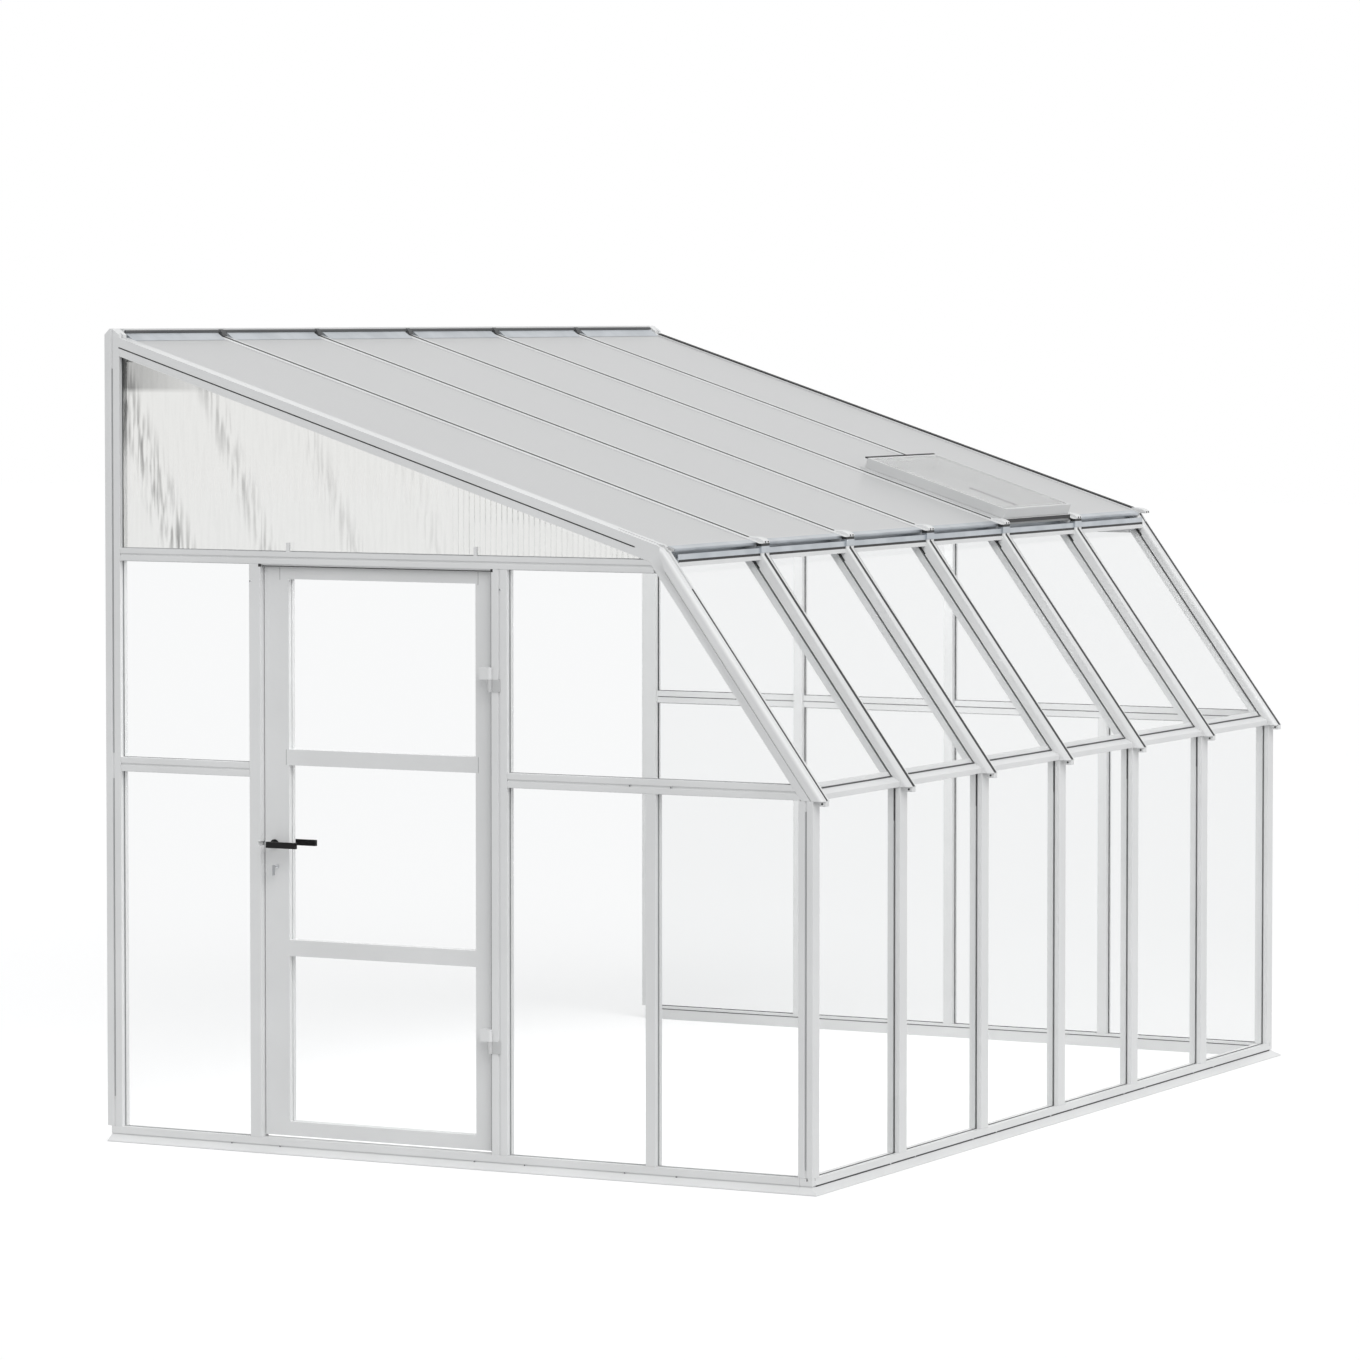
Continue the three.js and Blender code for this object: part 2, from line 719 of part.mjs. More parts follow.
function nearGable() {
  const post = wallPost.width;
  const jambWidth = lockJamb.end - lockJamb.start;
  const hingeWidth = hingeJamb.end - hingeJamb.start;
  const head = doorHeadHeight;
  const lockBar = gablePost(-1, lockJamb.start, jambWidth, base.height, head, { low: true });
  addPart(
    "door_jamb_lock",
    without(
      lockBar,
      keepCut(latch, lever.height, -overrun),
      keepCut(deadBolt, deadBoltHeight, lock.inset - deadBolt.thickness / 2 - fitGap),
    ),
    "frame",
  );
  const hingeBar = gablePost(-1, hingeJamb.start, hingeWidth, base.height, head, { slot: true, high: true });
  addPart("door_jamb_hinge", hingeBar, "frame");
  addPart(
    "gable_post_near",
    gablePost(-1, gablePostStart, gablePostWidth, base.height, midRailLow, { low: true, high: true }),
    "frame",
  );
  const pins = [lockJamb.end + dropPin.lockFromJamb, hingeJamb.start - dropPin.hingeFromJamb].map((place) =>
    block(
      gableX(-1, dropPin.inset),
      gableX(-1, dropPin.inset + dropPin.width),
      place - dropPin.width / 2,
      place + dropPin.width / 2,
      transomTop,
      transomTop + dropPin.tall,
    ),
  );
  addPart("transom_near", joined(transom(-1), ...pins), "frame");
  const railGrooves = { slot: true, low: true, high: true };
  addPart(
    "mid_rail_side",
    gableRail(-1, midRailLow, midRail.height, post + fitGap, lockJamb.start - fitGap, railGrooves),
    "frame",
  );
  const cornerRail = gableRail(-1, midRailLow, midRail.height, hingeJamb.end + fitGap, innerFace, railGrooves);
  addPart("mid_rail_corner", without(cornerRail, gableRafterRoom(-1)), "frame");
}

function farGable() {
  const rail = gableRail(
    1,
    midRailLow,
    midRail.height,
    wallPost.width + fitGap,
    innerFace,
    { slot: true, low: true, high: true },
    midRail.farDepth,
  );
  addPart("mid_rail_far", without(rail, gableRafterRoom(1)), "frame");
  // The two tall posts are housed over the rail, the short one stops under it.
  const housing = alongY(
    rectangle(
      gableX(1, -overrun),
      gableX(1, midRail.farDepth + fitGap),
      midRailLow - fitGap,
      midRailHigh + fitGap,
    ),
    0,
    innerFace,
  );
  farPostStarts.forEach((start, i) => {
    const isTall = i < farPostStarts.length - 1;
    const top = isTall ? doorHeadHeight : midRailLow;
    const post = gablePost(1, start, gablePostWidth, base.height, top, { low: true, high: true });
    addPart("far_post_" + (i + 1), isTall ? without(post, housing) : post, "frame");
  });
  addPart("transom_far", transom(1), "frame");
}

// Glazing. A pane's edges stand in the grooves round it, and panes of one wall are joined
// where the grooves run on past a post or rail.
function gableSheet(side, outline, thickness) {
  const half = thickness / 2;
  return alongX(outline, gableX(side, glassInset - half), gableX(side, glassInset + half));
}

function gableWeb(side, distance0, distance1, z0, z1) {
  return alongX(rectangle(distance0, distance1, z0, z1), gableX(side, 0), gableX(side, profileDepth));
}

// The web of a post between its two grooves, with the fit gap round it.
function postWeb(side, start, z0, z1) {
  const inset = grooveDepth - fitGap;
  return gableWeb(side, start + inset, start + gablePostWidth - inset, z0 - fitGap, z1 + fitGap);
}

// Outline of the glass below the transom, from one distance to the slope.
function lowerOutline(start) {
  const low = base.height - paneReach;
  const top = doorHeadHeight + paneReach;
  const postEdge = frontFace - cornerPost.width;
  const rise = paneReach - rafter.inside;
  return [
    [start, low],
    [postEdge + paneReach, low],
    [postEdge + paneReach, kneeHeight - fitGap],
    [postEdge - grooveDepth, kneeHeight - fitGap],
    [postEdge - grooveDepth, midRailLow + paneReach],
    [postEdge - grooveDepth, midRailHigh - paneReach],
    atHeight(slopeLine, midRailHigh - paneReach, rise),
    atHeight(slopeLine, top, rise),
    [start, top],
  ];
}

function gablePanel(side) {
  const left = wallPost.width - paneReach;
  const low = transomTop - paneReach;
  const rise = paneReach - rafter.inside;
  const tip = atHeight(roofLine, transomTop, -rafter.inside)[0] - rafter.inside;
  const outline = [
    [left, low],
    [tip, low],
    atDistance(roofLine, tip, rise),
    atDistance(roofLine, left, rise),
  ];
  return gableSheet(side, outline, twinWallThickness);
}

function gableGlazing() {
  const left = wallPost.width - paneReach;
  const railWebLow = midRailLow + paneReach;
  const railWebHigh = midRailHigh - paneReach;
  const sideOutline = rectangle(
    left,
    lockJamb.start + paneReach,
    base.height - paneReach,
    doorHeadHeight + paneReach,
  );
  const sideWeb = gableWeb(-1, wallPost.width, lockJamb.start, railWebLow, railWebHigh);
  addPart("side_glazing", without(gableSheet(-1, sideOutline, clearThickness), sideWeb), "clear");

  const cornerStart = hingeJamb.end - paneReach;
  addPart(
    "corner_glazing",
    without(
      gableSheet(-1, lowerOutline(cornerStart), clearThickness),
      gableWeb(-1, hingeJamb.end, frontFace, railWebLow, railWebHigh),
      postWeb(-1, gablePostStart, base.height, midRailLow),
    ),
    "clear",
  );
  addPart("gable_panel_near", gablePanel(-1), "fluted");

  const webs = farPostStarts.map((start, i) => {
    const isTall = i < farPostStarts.length - 1;
    return postWeb(1, start, base.height, isTall ? doorHeadHeight : midRailLow);
  });
  addPart(
    "far_glazing",
    without(
      gableSheet(1, lowerOutline(left), clearThickness),
      gableWeb(1, wallPost.width, frontFace, railWebLow, railWebHigh),
      ...webs,
    ),
    "clear",
  );
  addPart("gable_panel_far", gablePanel(1), "fluted");
}

function frontGlazing() {
  const half = clearThickness / 2;
  const end = halfLength - cornerPost.depth + paneReach;
  const sheet = alongY(
    rectangle(-end, end, base.height - paneReach, kneeHeight + paneReach),
    glassDistance - half,
    glassDistance + half,
  );
  const webHalf = frontPostWidth / 2 - paneReach;
  const webs = rafterCentres
    .slice(1, -1)
    .map((centre) =>
      block(
        centre - webHalf,
        centre + webHalf,
        frontFace,
        innerFace,
        base.height - fitGap,
        kneeHeight + fitGap,
      ),
    );
  // The end panes stop short of the gable rafters above them.
  const ends = [-1, 1].map((side) =>
    block(
      gableX(side, rafter.width + fitGap),
      gableX(side, 0),
      frontFace,
      innerFace,
      kneeHeight - fitGap,
      kneeHeight + overrun,
    ),
  );
  const feet = [-1, 1].map((side) =>
    block(
      gableX(side, profileDepth - paneReach),
      gableX(side, 0),
      frontFace,
      innerFace,
      0,
      base.height + fitGap,
    ),
  );
  addPart("front_glazing", without(sheet, ...webs, ...ends, ...feet), "clear");
}

function slopeGlazing() {
  const half = clearThickness / 2;
  const start = knee.lipRun - paneReach;
  const head = gutterLow + paneReach;
  const webHalf = rafter.width / 2 - paneReach;
  const reach = halfLength - rafter.width / 2 - webHalf;
  const outline = [
    onLine(slopeLine, start, -half),
    atHeight(slopeLine, head, -half),
    atHeight(slopeLine, head, half),
    onLine(slopeLine, start, half),
  ];
  const sheet = alongX(outline, -reach, reach);
  const webs = rafterCentres
    .slice(1, -1)
    .map((centre) =>
      alongX(
        slopeStrip(-overrun, overrun, knee.lipRun - fitGap, slopeLine.run + overrun),
        centre - webHalf,
        centre + webHalf,
      ),
    );
  // The joining strip ends with the knee rail, short of the gable rafters.
  const ends = [-1, 1].map((side) =>
    alongX(
      slopeStrip(-overrun, overrun, start - overrun, knee.lipRun + fitGap),
      side * (halfLength - rafter.width - fitGap),
      side * halfLength,
    ),
  );
  addPart("slope_glazing", without(sheet, ...webs, ...ends), "clear");
}

function roofPanels() {
  const webHalf = rafter.width / 2 - paneReach;
  const low = roofPanel.low;
  const high = low + twinWallThickness;
  for (let i = 0; i < bayCount; i += 1) {
    const start = (wallRail.plate + fitGap - roofLine.outD * low) / roofLine.alongD;
    const end = i === bayCountBeforeVent ? ventCurbStart - fitGap : roofPanelEnd;
    const solid = alongX(
      roofStrip(low, high, start, end),
      rafterCentres[i] + webHalf,
      rafterCentres[i + 1] - webHalf,
    );
    addPart("roof_panel_" + (i + 1), solid, "twinWall");
  }
}

// Roof vent: a curb fixed between two rafters, and a glazed sash hinged at its upper edge.
function roofFrame(x0, x1, runStart, runEnd, low, high, bar) {
  const inner = alongX(
    roofStrip(low - overrun, high + overrun, runStart + bar, runEnd - bar),
    x0 + bar,
    x1 - bar,
  );
  return without(alongX(roofStrip(low, high, runStart, runEnd), x0, x1), inner);
}

function roofVent() {
  const x0 = rafterCentres[bayCountBeforeVent] + rafter.width / 2 + fitGap;
  const x1 = rafterCentres[bayCountBeforeVent + 1] - rafter.width / 2 - fitGap;
  const middle = (x0 + x1) / 2;
  addPart(
    "vent_curb",
    roofFrame(x0, x1, ventCurbStart, ventCurbEnd, ventCurb.low, ventCurbHigh, ventCurb.bar),
    "frame",
  );
  const sash = roofFrame(x0, x1, ventSashStart, ventSashEnd, ventSashLow, ventSashHigh, ventSash.bar);
  const ledge = ventSash.ledge;
  const seat = ventSashHigh - twinWallThickness - fitGap;
  const rebate = alongX(
    roofStrip(seat, ventSashHigh + overrun, ventSashStart + ledge, ventSashEnd - ledge),
    x0 + ledge,
    x1 - ledge,
  );
  addPart("vent_sash", without(sash, rebate), "frame");
  const panelInset = ledge + fitGap;
  addPart(
    "vent_panel",
    alongX(
      roofStrip(seat + fitGap, ventSashHigh, ventSashStart + panelInset, ventSashEnd - panelInset),
      x0 + panelInset,
      x1 - panelInset,
    ),
    "twinWall",
  );
  const foot = ventSashEnd - ventSash.bar - fitGap;
  const stayLow = ventCurbHigh + ventStay.seat;
  const stayRound = ventStay.thick / 2;
  const pivot = onLine(roofLine, foot - stayRound, stayLow + stayRound);
  addPart(
    "vent_stay",
    joined(
      alongX(
        roofStrip(stayLow, stayLow + ventStay.thick, foot - ventStay.length, foot - stayRound),
        middle - ventStay.width,
        middle,
      ),
      roundAlongX(stayRound, middle - ventStay.width, middle, ...pivot),
    ),
    "black",
  );
  const strapStart = middle + ventHandle.thick;
  const strap = alongX(
    roofStrip(-ventHandle.drop, ventSashLow + ventStay.width, foot - ventHandle.thick, foot),
    strapStart,
    strapStart + ventHandle.width,
  );
  const gripMiddle = strapStart + ventHandle.width / 2;
  const grip = alongX(
    roofStrip(
      -ventHandle.drop - ventHandle.gripTall,
      -ventHandle.drop,
      foot - ventHandle.gripDepth,
      foot,
    ),
    gripMiddle - ventHandle.gripWidth / 2,
    gripMiddle + ventHandle.gripWidth / 2,
  );
  addPart("vent_handle", joined(strap, grip), "black");
}

// Door leaf: stiles and rails in one frame round a single sheet, with a lock in one stile.
const leafStart = lockJamb.end + leaf.lockGap;
const leafEnd = hingeJamb.start - leaf.hingeGap;
const leafOuter = leaf.recess;
const leafInner = leaf.recess + leaf.thickness;
const leafMiddle = (leafOuter + leafInner) / 2;
const hingeAxis = { depth: -hinge.barrelRadius, distance: hingeJamb.start - leaf.hingeGap / 2 };
const leverDistance = leafStart + lever.fromEdge;
const cylinderDistance = leafStart + cylinder.fromEdge;

function leafBlock(depth0, depth1, distance0, distance1, z0, z1) {
  return block(gableX(-1, depth0), gableX(-1, depth1), distance0, distance1, z0, z1);
}

// The lock side of a hinge is fixed to the jamb and carries the pin.
function hingeFixed(height) {
  const low = height - hinge.length / 2;
  const x = gableX(-1, hingeAxis.depth);
  const barrel = roundAlongZ(hinge.barrelRadius, x, hingeAxis.distance, low, height);
  const pin = roundAlongZ(hinge.pinRadius, x, hingeAxis.distance, height, low + hinge.length);
  const plateStart = hingeJamb.start + hinge.barrelRadius;
  const plate = leafBlock(-hinge.plate, 0, hingeAxis.distance, plateStart + hinge.plateWidth, low, height);
  const seatCut = leafBlock(
    -overrun,
    overrun,
    hingeAxis.distance - overrun,
    hingeJamb.start + fitGap,
    low - overrun,
    height + overrun,
  );
  return joined(barrel, without(plate, seatCut), pin);
}

// The door side: a barrel over the pin, on an arm that reaches back to the leaf.
function hingeMoving(height) {
  const top = height + hinge.length / 2;
  const low = height + fitGap;
  const x = gableX(-1, hingeAxis.depth);
  const barrel = roundAlongZ(hinge.barrelRadius, x, hingeAxis.distance, low, top);
  const bore = roundAlongZ(hinge.pinRadius + fitGap, x, hingeAxis.distance, low - overrun, top + overrun);
  const armEnd = leafEnd - hingeArm.inset;
  const arm = leafBlock(
    hingeAxis.depth - hinge.barrelRadius,
    leafOuter,
    armEnd - hingeArm.width,
    armEnd + hingeArm.inset,
    low,
    top,
  );
  return without(joined(barrel, arm), bore);
}

function doorLeaf() {
  const openStart = leafStart + leafBars.lockStile;
  const openEnd = leafEnd - leafBars.hingeStile;
  const edges = [
    leafLow + leafBars.bottom,
    leafLow + leafBars.bottom + leafRail.lowPanel,
    leafLow + leafBars.bottom + leafRail.lowPanel + leafRail.lowHeight,
    kneeHeight + leafRail.kneeRise,
    kneeHeight + leafRail.kneeRise + leafRail.highHeight,
    leafHigh - leafBars.top,
  ];
  const openings = [0, 1, 2].map((i) =>
    leafBlock(leafOuter - overrun, leafInner + overrun, openStart, openEnd, edges[2 * i], edges[2 * i + 1]),
  );
  const half = clearThickness / 2 + fitGap;
  const sheetLow = edges[0];
  const sheetHigh = edges[edges.length - 1];
  const groove = leafBlock(
    leafMiddle - half,
    leafMiddle + half,
    openStart - grooveDepth,
    openEnd + grooveDepth,
    sheetLow - grooveDepth,
    sheetHigh + grooveDepth,
  );
  const lockHalf = lock.thickness / 2 + fitGap;
  const pocket = leafBlock(
    lock.inset - lockHalf,
    lock.inset + lockHalf,
    leafStart - overrun,
    leafStart + lock.depth + fitGap,
    lever.height - lock.below - fitGap,
    lever.height + lock.above + fitGap,
  );
  const through = [gableX(-1, leafOuter - overrun), gableX(-1, leafInner + overrun)];
  const spindleHole = roundAlongX(leverNeck.radius + fitGap, ...through, leverDistance, lever.height);
  const keyHole = roundAlongX(cylinder.radius + fitGap, ...through, cylinderDistance, deadBoltHeight);
  const body = leafBlock(leafOuter, leafInner, leafStart, leafEnd, leafLow, leafHigh);
  addPart(
    "door_frame",
    joined(
      without(body, ...openings, groove, pocket, spindleHole, keyHole),
      ...hingeHeights.map(hingeMoving),
    ),
    "frame",
  );
  const thin = clearThickness / 2;
  addPart(
    "door_glazing",
    leafBlock(
      leafMiddle - thin,
      leafMiddle + thin,
      openStart - paneReach,
      openEnd + paneReach,
      sheetLow - paneReach,
      sheetHigh + paneReach,
    ),
    "clear",
  );
  addPart("hinge_upper", hingeFixed(hingeHeights[1]), "frame");
  addPart("hinge_lower", hingeFixed(hingeHeights[0]), "frame");
}

// Lock case: a box sunk in the stile with a channel for each bolt, open at the leaf's edge.
function doorLock() {
  const halfCase = lock.thickness / 2;
  const back = leafStart + lock.depth;
  const body = leafBlock(lock.inset - halfCase, lock.inset + halfCase, leafStart, back, lever.height - lock.below, lever.height + lock.above);
  const channel = (bolt, height, depth) =>
    leafBlock(
      lock.inset - bolt.thickness / 2 - fitGap,
      lock.inset + bolt.thickness / 2 + fitGap,
      leafStart - overrun,
      leafStart + depth,
      height - bolt.tall / 2 - fitGap,
      height + bolt.tall / 2 + fitGap,
    );
  const latchRoom = latch.length;
  const boltRoom = deadBolt.length + lock.wall;
  const through = [gableX(-1, leafOuter), gableX(-1, leafInner)];
  addPart(
    "lock_case",
    without(
      body,
      channel(latch, lever.height, latchRoom),
      channel(deadBolt, deadBoltHeight, boltRoom),
      roundAlongX(leverNeck.radius + fitGap, ...through, leverDistance, lever.height),
      roundAlongX(cylinder.radius + fitGap, ...through, cylinderDistance, deadBoltHeight),
    ),
    "steel",
  );
  const latchBack = leafStart + latchRoom - latch.throw - fitGap;
  addPart(
    "latch_bolt",
    leafBlock(
      lock.inset - latch.thickness / 2,
      lock.inset + latch.thickness / 2,
      leafStart - latch.throw,
      latchBack,
      lever.height - latch.tall / 2,
      lever.height + latch.tall / 2,
    ),
    "steel",
  );
  addPart(
    "dead_bolt",
    leafBlock(
      lock.inset - deadBolt.thickness / 2,
      lock.inset + deadBolt.thickness / 2,
      leafStart + fitGap,
      leafStart + deadBolt.length,
      deadBoltHeight - deadBolt.tall / 2,
      deadBoltHeight + deadBolt.tall / 2,
    ),
    "steel",
  );
  leverHandles();
  keyCylinder();
}

// A square-cut lever on each face of the leaf, on one spindle.
function leverHandles() {
  const outerFace = leafOuter - fitGap;
  const innerSide = leafInner + fitGap;
  const tip = leverDistance - leverNeck.tail;
  const halfTall = lever.tall / 2;
  const bar = (depth0, depth1) =>
    leafBlock(depth0, depth1, tip, tip + lever.length, lever.height - halfTall, lever.height + halfTall);
  const outerEnd = leafOuter - lever.reach;
  const innerEnd = leafInner + lever.reach;
  const rose = (depth0, depth1) =>
    roundAlongX(leverNeck.rose, gableX(-1, depth0), gableX(-1, depth1), leverDistance, lever.height);
  const spindle = roundAlongX(
    leverNeck.radius,
    gableX(-1, outerEnd + lever.thick / 2),
    gableX(-1, innerEnd - lever.thick / 2),
    leverDistance,
    lever.height,
  );
  addPart(
    "lever_handles",
    joined(
      spindle,
      rose(outerFace - leverNeck.roseThick, outerFace),
      rose(innerSide, innerSide + leverNeck.roseThick),
      bar(outerEnd, outerEnd + lever.thick),
      bar(innerEnd - lever.thick, innerEnd),
    ),
    "black",
  );
}

// The lock's plug, with a key in its outer end.
function keyCylinder() {
  const outer = leafOuter - cylinder.stand;
  const plug = roundAlongX(
    cylinder.radius,
    gableX(-1, outer),
    gableX(-1, leafInner + cylinder.stand),
    cylinderDistance,
    deadBoltHeight,
  );
  const halfThick = key.thick / 2;
  const blade = leafBlock(
    outer - key.blade,
    outer + cylinder.stand,
    cylinderDistance - halfThick,
    cylinderDistance + halfThick,
    deadBoltHeight - key.bladeTall / 2,
    deadBoltHeight + key.bladeTall / 2,
  );
  const bow = leafBlock(
    outer - key.blade - key.width,
    outer - key.blade,
    cylinderDistance - halfThick,
    cylinderDistance + halfThick,
    deadBoltHeight + key.bladeTall - key.tall,
    deadBoltHeight + key.bladeTall,
  );
  addPart("key_cylinder", joined(plug, blade, bow), "steel");
}

baseRails();
wallFrame();
cornerPosts();
frontWall();
rafters();
nearGable();
farGable();
gableGlazing();
frontGlazing();
slopeGlazing();
roofPanels();
roofVent();
doorLeaf();
doorLock();

export default greenhouse;
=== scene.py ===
"""Looks of the lean-to greenhouse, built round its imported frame. Metres, +Z up, +Y to the wall."""

import math

import bmesh
import bpy
from mathutils import Matrix, Vector


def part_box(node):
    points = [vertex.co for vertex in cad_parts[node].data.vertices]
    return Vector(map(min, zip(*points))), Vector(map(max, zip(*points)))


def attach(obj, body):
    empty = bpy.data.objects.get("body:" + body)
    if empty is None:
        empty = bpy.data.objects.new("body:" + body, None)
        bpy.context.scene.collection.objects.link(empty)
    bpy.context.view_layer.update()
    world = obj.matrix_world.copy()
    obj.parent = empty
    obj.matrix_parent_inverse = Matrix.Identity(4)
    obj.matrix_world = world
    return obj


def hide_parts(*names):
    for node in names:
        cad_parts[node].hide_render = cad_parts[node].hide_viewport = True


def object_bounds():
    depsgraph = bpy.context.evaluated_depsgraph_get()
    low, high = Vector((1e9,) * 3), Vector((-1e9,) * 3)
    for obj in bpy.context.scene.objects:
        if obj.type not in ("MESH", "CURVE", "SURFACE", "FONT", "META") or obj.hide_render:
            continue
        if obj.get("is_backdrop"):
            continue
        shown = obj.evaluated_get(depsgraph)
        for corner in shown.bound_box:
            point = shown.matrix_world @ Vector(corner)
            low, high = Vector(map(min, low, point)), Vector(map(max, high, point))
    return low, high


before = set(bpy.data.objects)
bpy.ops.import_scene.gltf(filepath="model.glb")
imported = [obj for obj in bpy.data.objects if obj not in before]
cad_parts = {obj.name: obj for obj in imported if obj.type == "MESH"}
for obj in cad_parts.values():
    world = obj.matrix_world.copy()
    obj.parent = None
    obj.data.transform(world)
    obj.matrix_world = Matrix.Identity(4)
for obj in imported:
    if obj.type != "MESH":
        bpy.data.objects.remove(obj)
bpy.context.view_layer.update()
scene = bpy.context.scene
scene.view_settings.view_transform = "Standard"


# Studio.
# A long lens stands off the door gable and looks a little down along the front. The floor and
# the backdrop are white to the camera, and the floor still takes the soft shadow of the house.
camera_place = Vector((-18.3063, -9.3765, 2.7789))
camera_right = Vector((0.46283, -0.88645, 0.0)).normalized()
camera_ahead = Vector((0.88555, 0.46233, -0.04531)).normalized()
camera_up = camera_right.cross(camera_ahead)
camera_data = bpy.data.cameras.new("camera")
camera_data.lens = 154.87
camera_data.sensor_width = 36.0
camera_data.shift_y = -0.0778
camera_data.clip_end = 200.0
camera = bpy.data.objects.new("camera", camera_data)
turn = Matrix((camera_right, camera_up, -camera_ahead)).transposed().to_4x4()
camera.matrix_world = Matrix.Translation(camera_place) @ turn
scene.collection.objects.link(camera)
scene.camera = camera


def filled(tree, kind, values):
    """A new node of a tree, with its inputs set by name."""
    node = tree.nodes.new(kind)
    for name, value in values.items():
        node.inputs[name].default_value = value
    return node


def joined(tree, *links):
    """Links the nodes of a tree: from a node's output to a node's input."""
    for start, output, end, socket in links:
        tree.links.new(start.outputs[output], end.inputs[socket])


def seen_directly(tree):
    """A node that gives 1 for camera, mirror and see-through rays, for a white surround."""
    path = tree.nodes.new("ShaderNodeLightPath")
    first, second = tree.nodes.new("ShaderNodeMath"), tree.nodes.new("ShaderNodeMath")
    first.operation = second.operation = "MAXIMUM"
    joined(
        tree,
        (path, "Is Camera Ray", first, 0),
        (path, "Is Glossy Ray", first, 1),
        (first, 0, second, 0),
        (path, "Is Transmission Ray", second, 1),
    )
    return second


world = bpy.data.worlds.new("white studio")
world.use_nodes = True
scene.world = world
tree = world.node_tree
tree.nodes.clear()
seen = filled(tree, "ShaderNodeBackground", {"Color": (1, 1, 1, 1), "Strength": 1.0})
fill = filled(tree, "ShaderNodeBackground", {"Color": (0.98, 0.99, 1.0, 1), "Strength": 0.60})
mix = tree.nodes.new("ShaderNodeMixShader")
out = tree.nodes.new("ShaderNodeOutputWorld")
joined(tree, (seen_directly(tree), 0, mix, 0), (fill, 0, mix, 1), (seen, 0, mix, 2), (mix, 0, out, "Surface"))

floor_mesh = bpy.data.meshes.new("floor")
half_floor = 60.0
floor_corners = [(x * half_floor, y * half_floor, 0) for x, y in ((-1, -1), (1, -1), (1, 1), (-1, 1))]
floor_mesh.from_pydata(floor_corners, [], [(0, 1, 2, 3)])
floor = bpy.data.objects.new("floor", floor_mesh)
scene.collection.objects.link(floor)
floor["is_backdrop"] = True
floor_paint = bpy.data.materials.new("studio floor")
floor_paint.use_nodes = True
tree = floor_paint.node_tree
tree.nodes.clear()
plain = filled(tree, "ShaderNodeBsdfDiffuse", {"Color": (0.62, 0.62, 0.62, 1)})
glow = filled(tree, "ShaderNodeEmission", {"Color": (1, 1, 1, 1)})
lift = tree.nodes.new("ShaderNodeMath")
lift.operation = "MULTIPLY"
lift.inputs[1].default_value = 0.445
add = tree.nodes.new("ShaderNodeAddShader")
out = tree.nodes.new("ShaderNodeOutputMaterial")
joined(
    tree,
    (seen_directly(tree), 0, lift, 0),
    (lift, 0, glow, "Strength"),
    (plain, 0, add, 0),
    (glow, 0, add, 1),
    (add, 0, out, "Surface"),
)
floor_mesh.materials.append(floor_paint)

key_from = Vector((-4.2, -5.8, 7.0))
key_data = bpy.data.lights.new("key", "SUN")
key_data.energy = 1.4
key_data.angle = math.radians(50)
key = bpy.data.objects.new("key", key_data)
key.rotation_mode = "QUATERNION"
key.rotation_quaternion = (-key_from).to_track_quat("-Z", "Y")
scene.collection.objects.link(key)

# The opal roof glows on the inside of a real house. A wide lamp under it gives that light.
glow_data = bpy.data.lights.new("light through the roof", "AREA")
glow_data.shape = "RECTANGLE"
glow_data.size, glow_data.size_y = 3.6, 1.9
glow_data.energy = 46.0
roof_glow = bpy.data.objects.new("light through the roof", glow_data)
roof_glow.location = (0.0, 0.30, 2.24)
roof_glow.rotation_euler = (math.radians(17.9), 0.0, 0.0)
roof_glow.visible_camera = roof_glow.visible_glossy = roof_glow.visible_transmission = False
scene.collection.objects.link(roof_glow)


# Base rails.
# Extruded aluminium channels in white powder coat that lie on the ground, with a sloping outer
# flange that sheds the rain. The coat has a fine orange-peel skin and drifts a little in tone.
def noise_group():
    """Fine speckle and slow drift, for coats and sheets. Puts out a mask and a height."""
    group = bpy.data.node_groups.new("coat grain", "ShaderNodeTree")
    for in_out, names in (("INPUT", ("Fine Scale", "Slow Scale")), ("OUTPUT", ("Drift", "Height"))):
        for name in names:
            group.interface.new_socket(name, in_out=in_out, socket_type="NodeSocketFloat")
    ins = group.nodes.new("NodeGroupInput")
    outs = group.nodes.new("NodeGroupOutput")
    place = group.nodes.new("ShaderNodeTexCoord")
    fine = group.nodes.new("ShaderNodeTexNoise")
    slow = filled(group, "ShaderNodeTexNoise", {"Detail": 3.0})
    joined(
        group,
        (place, "Object", fine, "Vector"),
        (place, "Object", slow, "Vector"),
        (ins, "Fine Scale", fine, "Scale"),
        (ins, "Slow Scale", slow, "Scale"),
        (slow, "Fac", outs, "Drift"),
        (fine, "Fac", outs, "Height"),
    )
    return group


coat_grain = noise_group()


def new_material(name, values):
    """A material with its shader's inputs set by name. Returns it, its tree and its shader."""
    made = bpy.data.materials.new(name)
    made.use_nodes = True
    shader = made.node_tree.nodes["Principled BSDF"]
    for socket, value in values.items():
        shader.inputs[socket].default_value = value
    return made, made.node_tree, shader


def two_tones(tree, dark, dark_at, light, light_at):
    """A ramp from one colour to another."""
    tones = tree.nodes.new("ShaderNodeValToRGB")
    for stop, colour, at in zip(tones.color_ramp.elements, (dark, light), (dark_at, light_at)):
        stop.position = at
        stop.color = (*colour, 1)
    return tones


def add_grain(tree, shader, fine, slow, rough):
    """The grain's node, with its drift carried into the roughness."""
    grain = tree.nodes.new("ShaderNodeGroup")
    grain.node_tree = coat_grain
    grain.inputs["Fine Scale"].default_value = fine
    grain.inputs["Slow Scale"].default_value = slow
    span = filled(tree, "ShaderNodeMapRange", {"To Min": rough[0], "To Max": rough[1]})
    joined(tree, (grain, "Drift", span, "Value"), (span, "Result", shader, "Roughness"))
    return grain


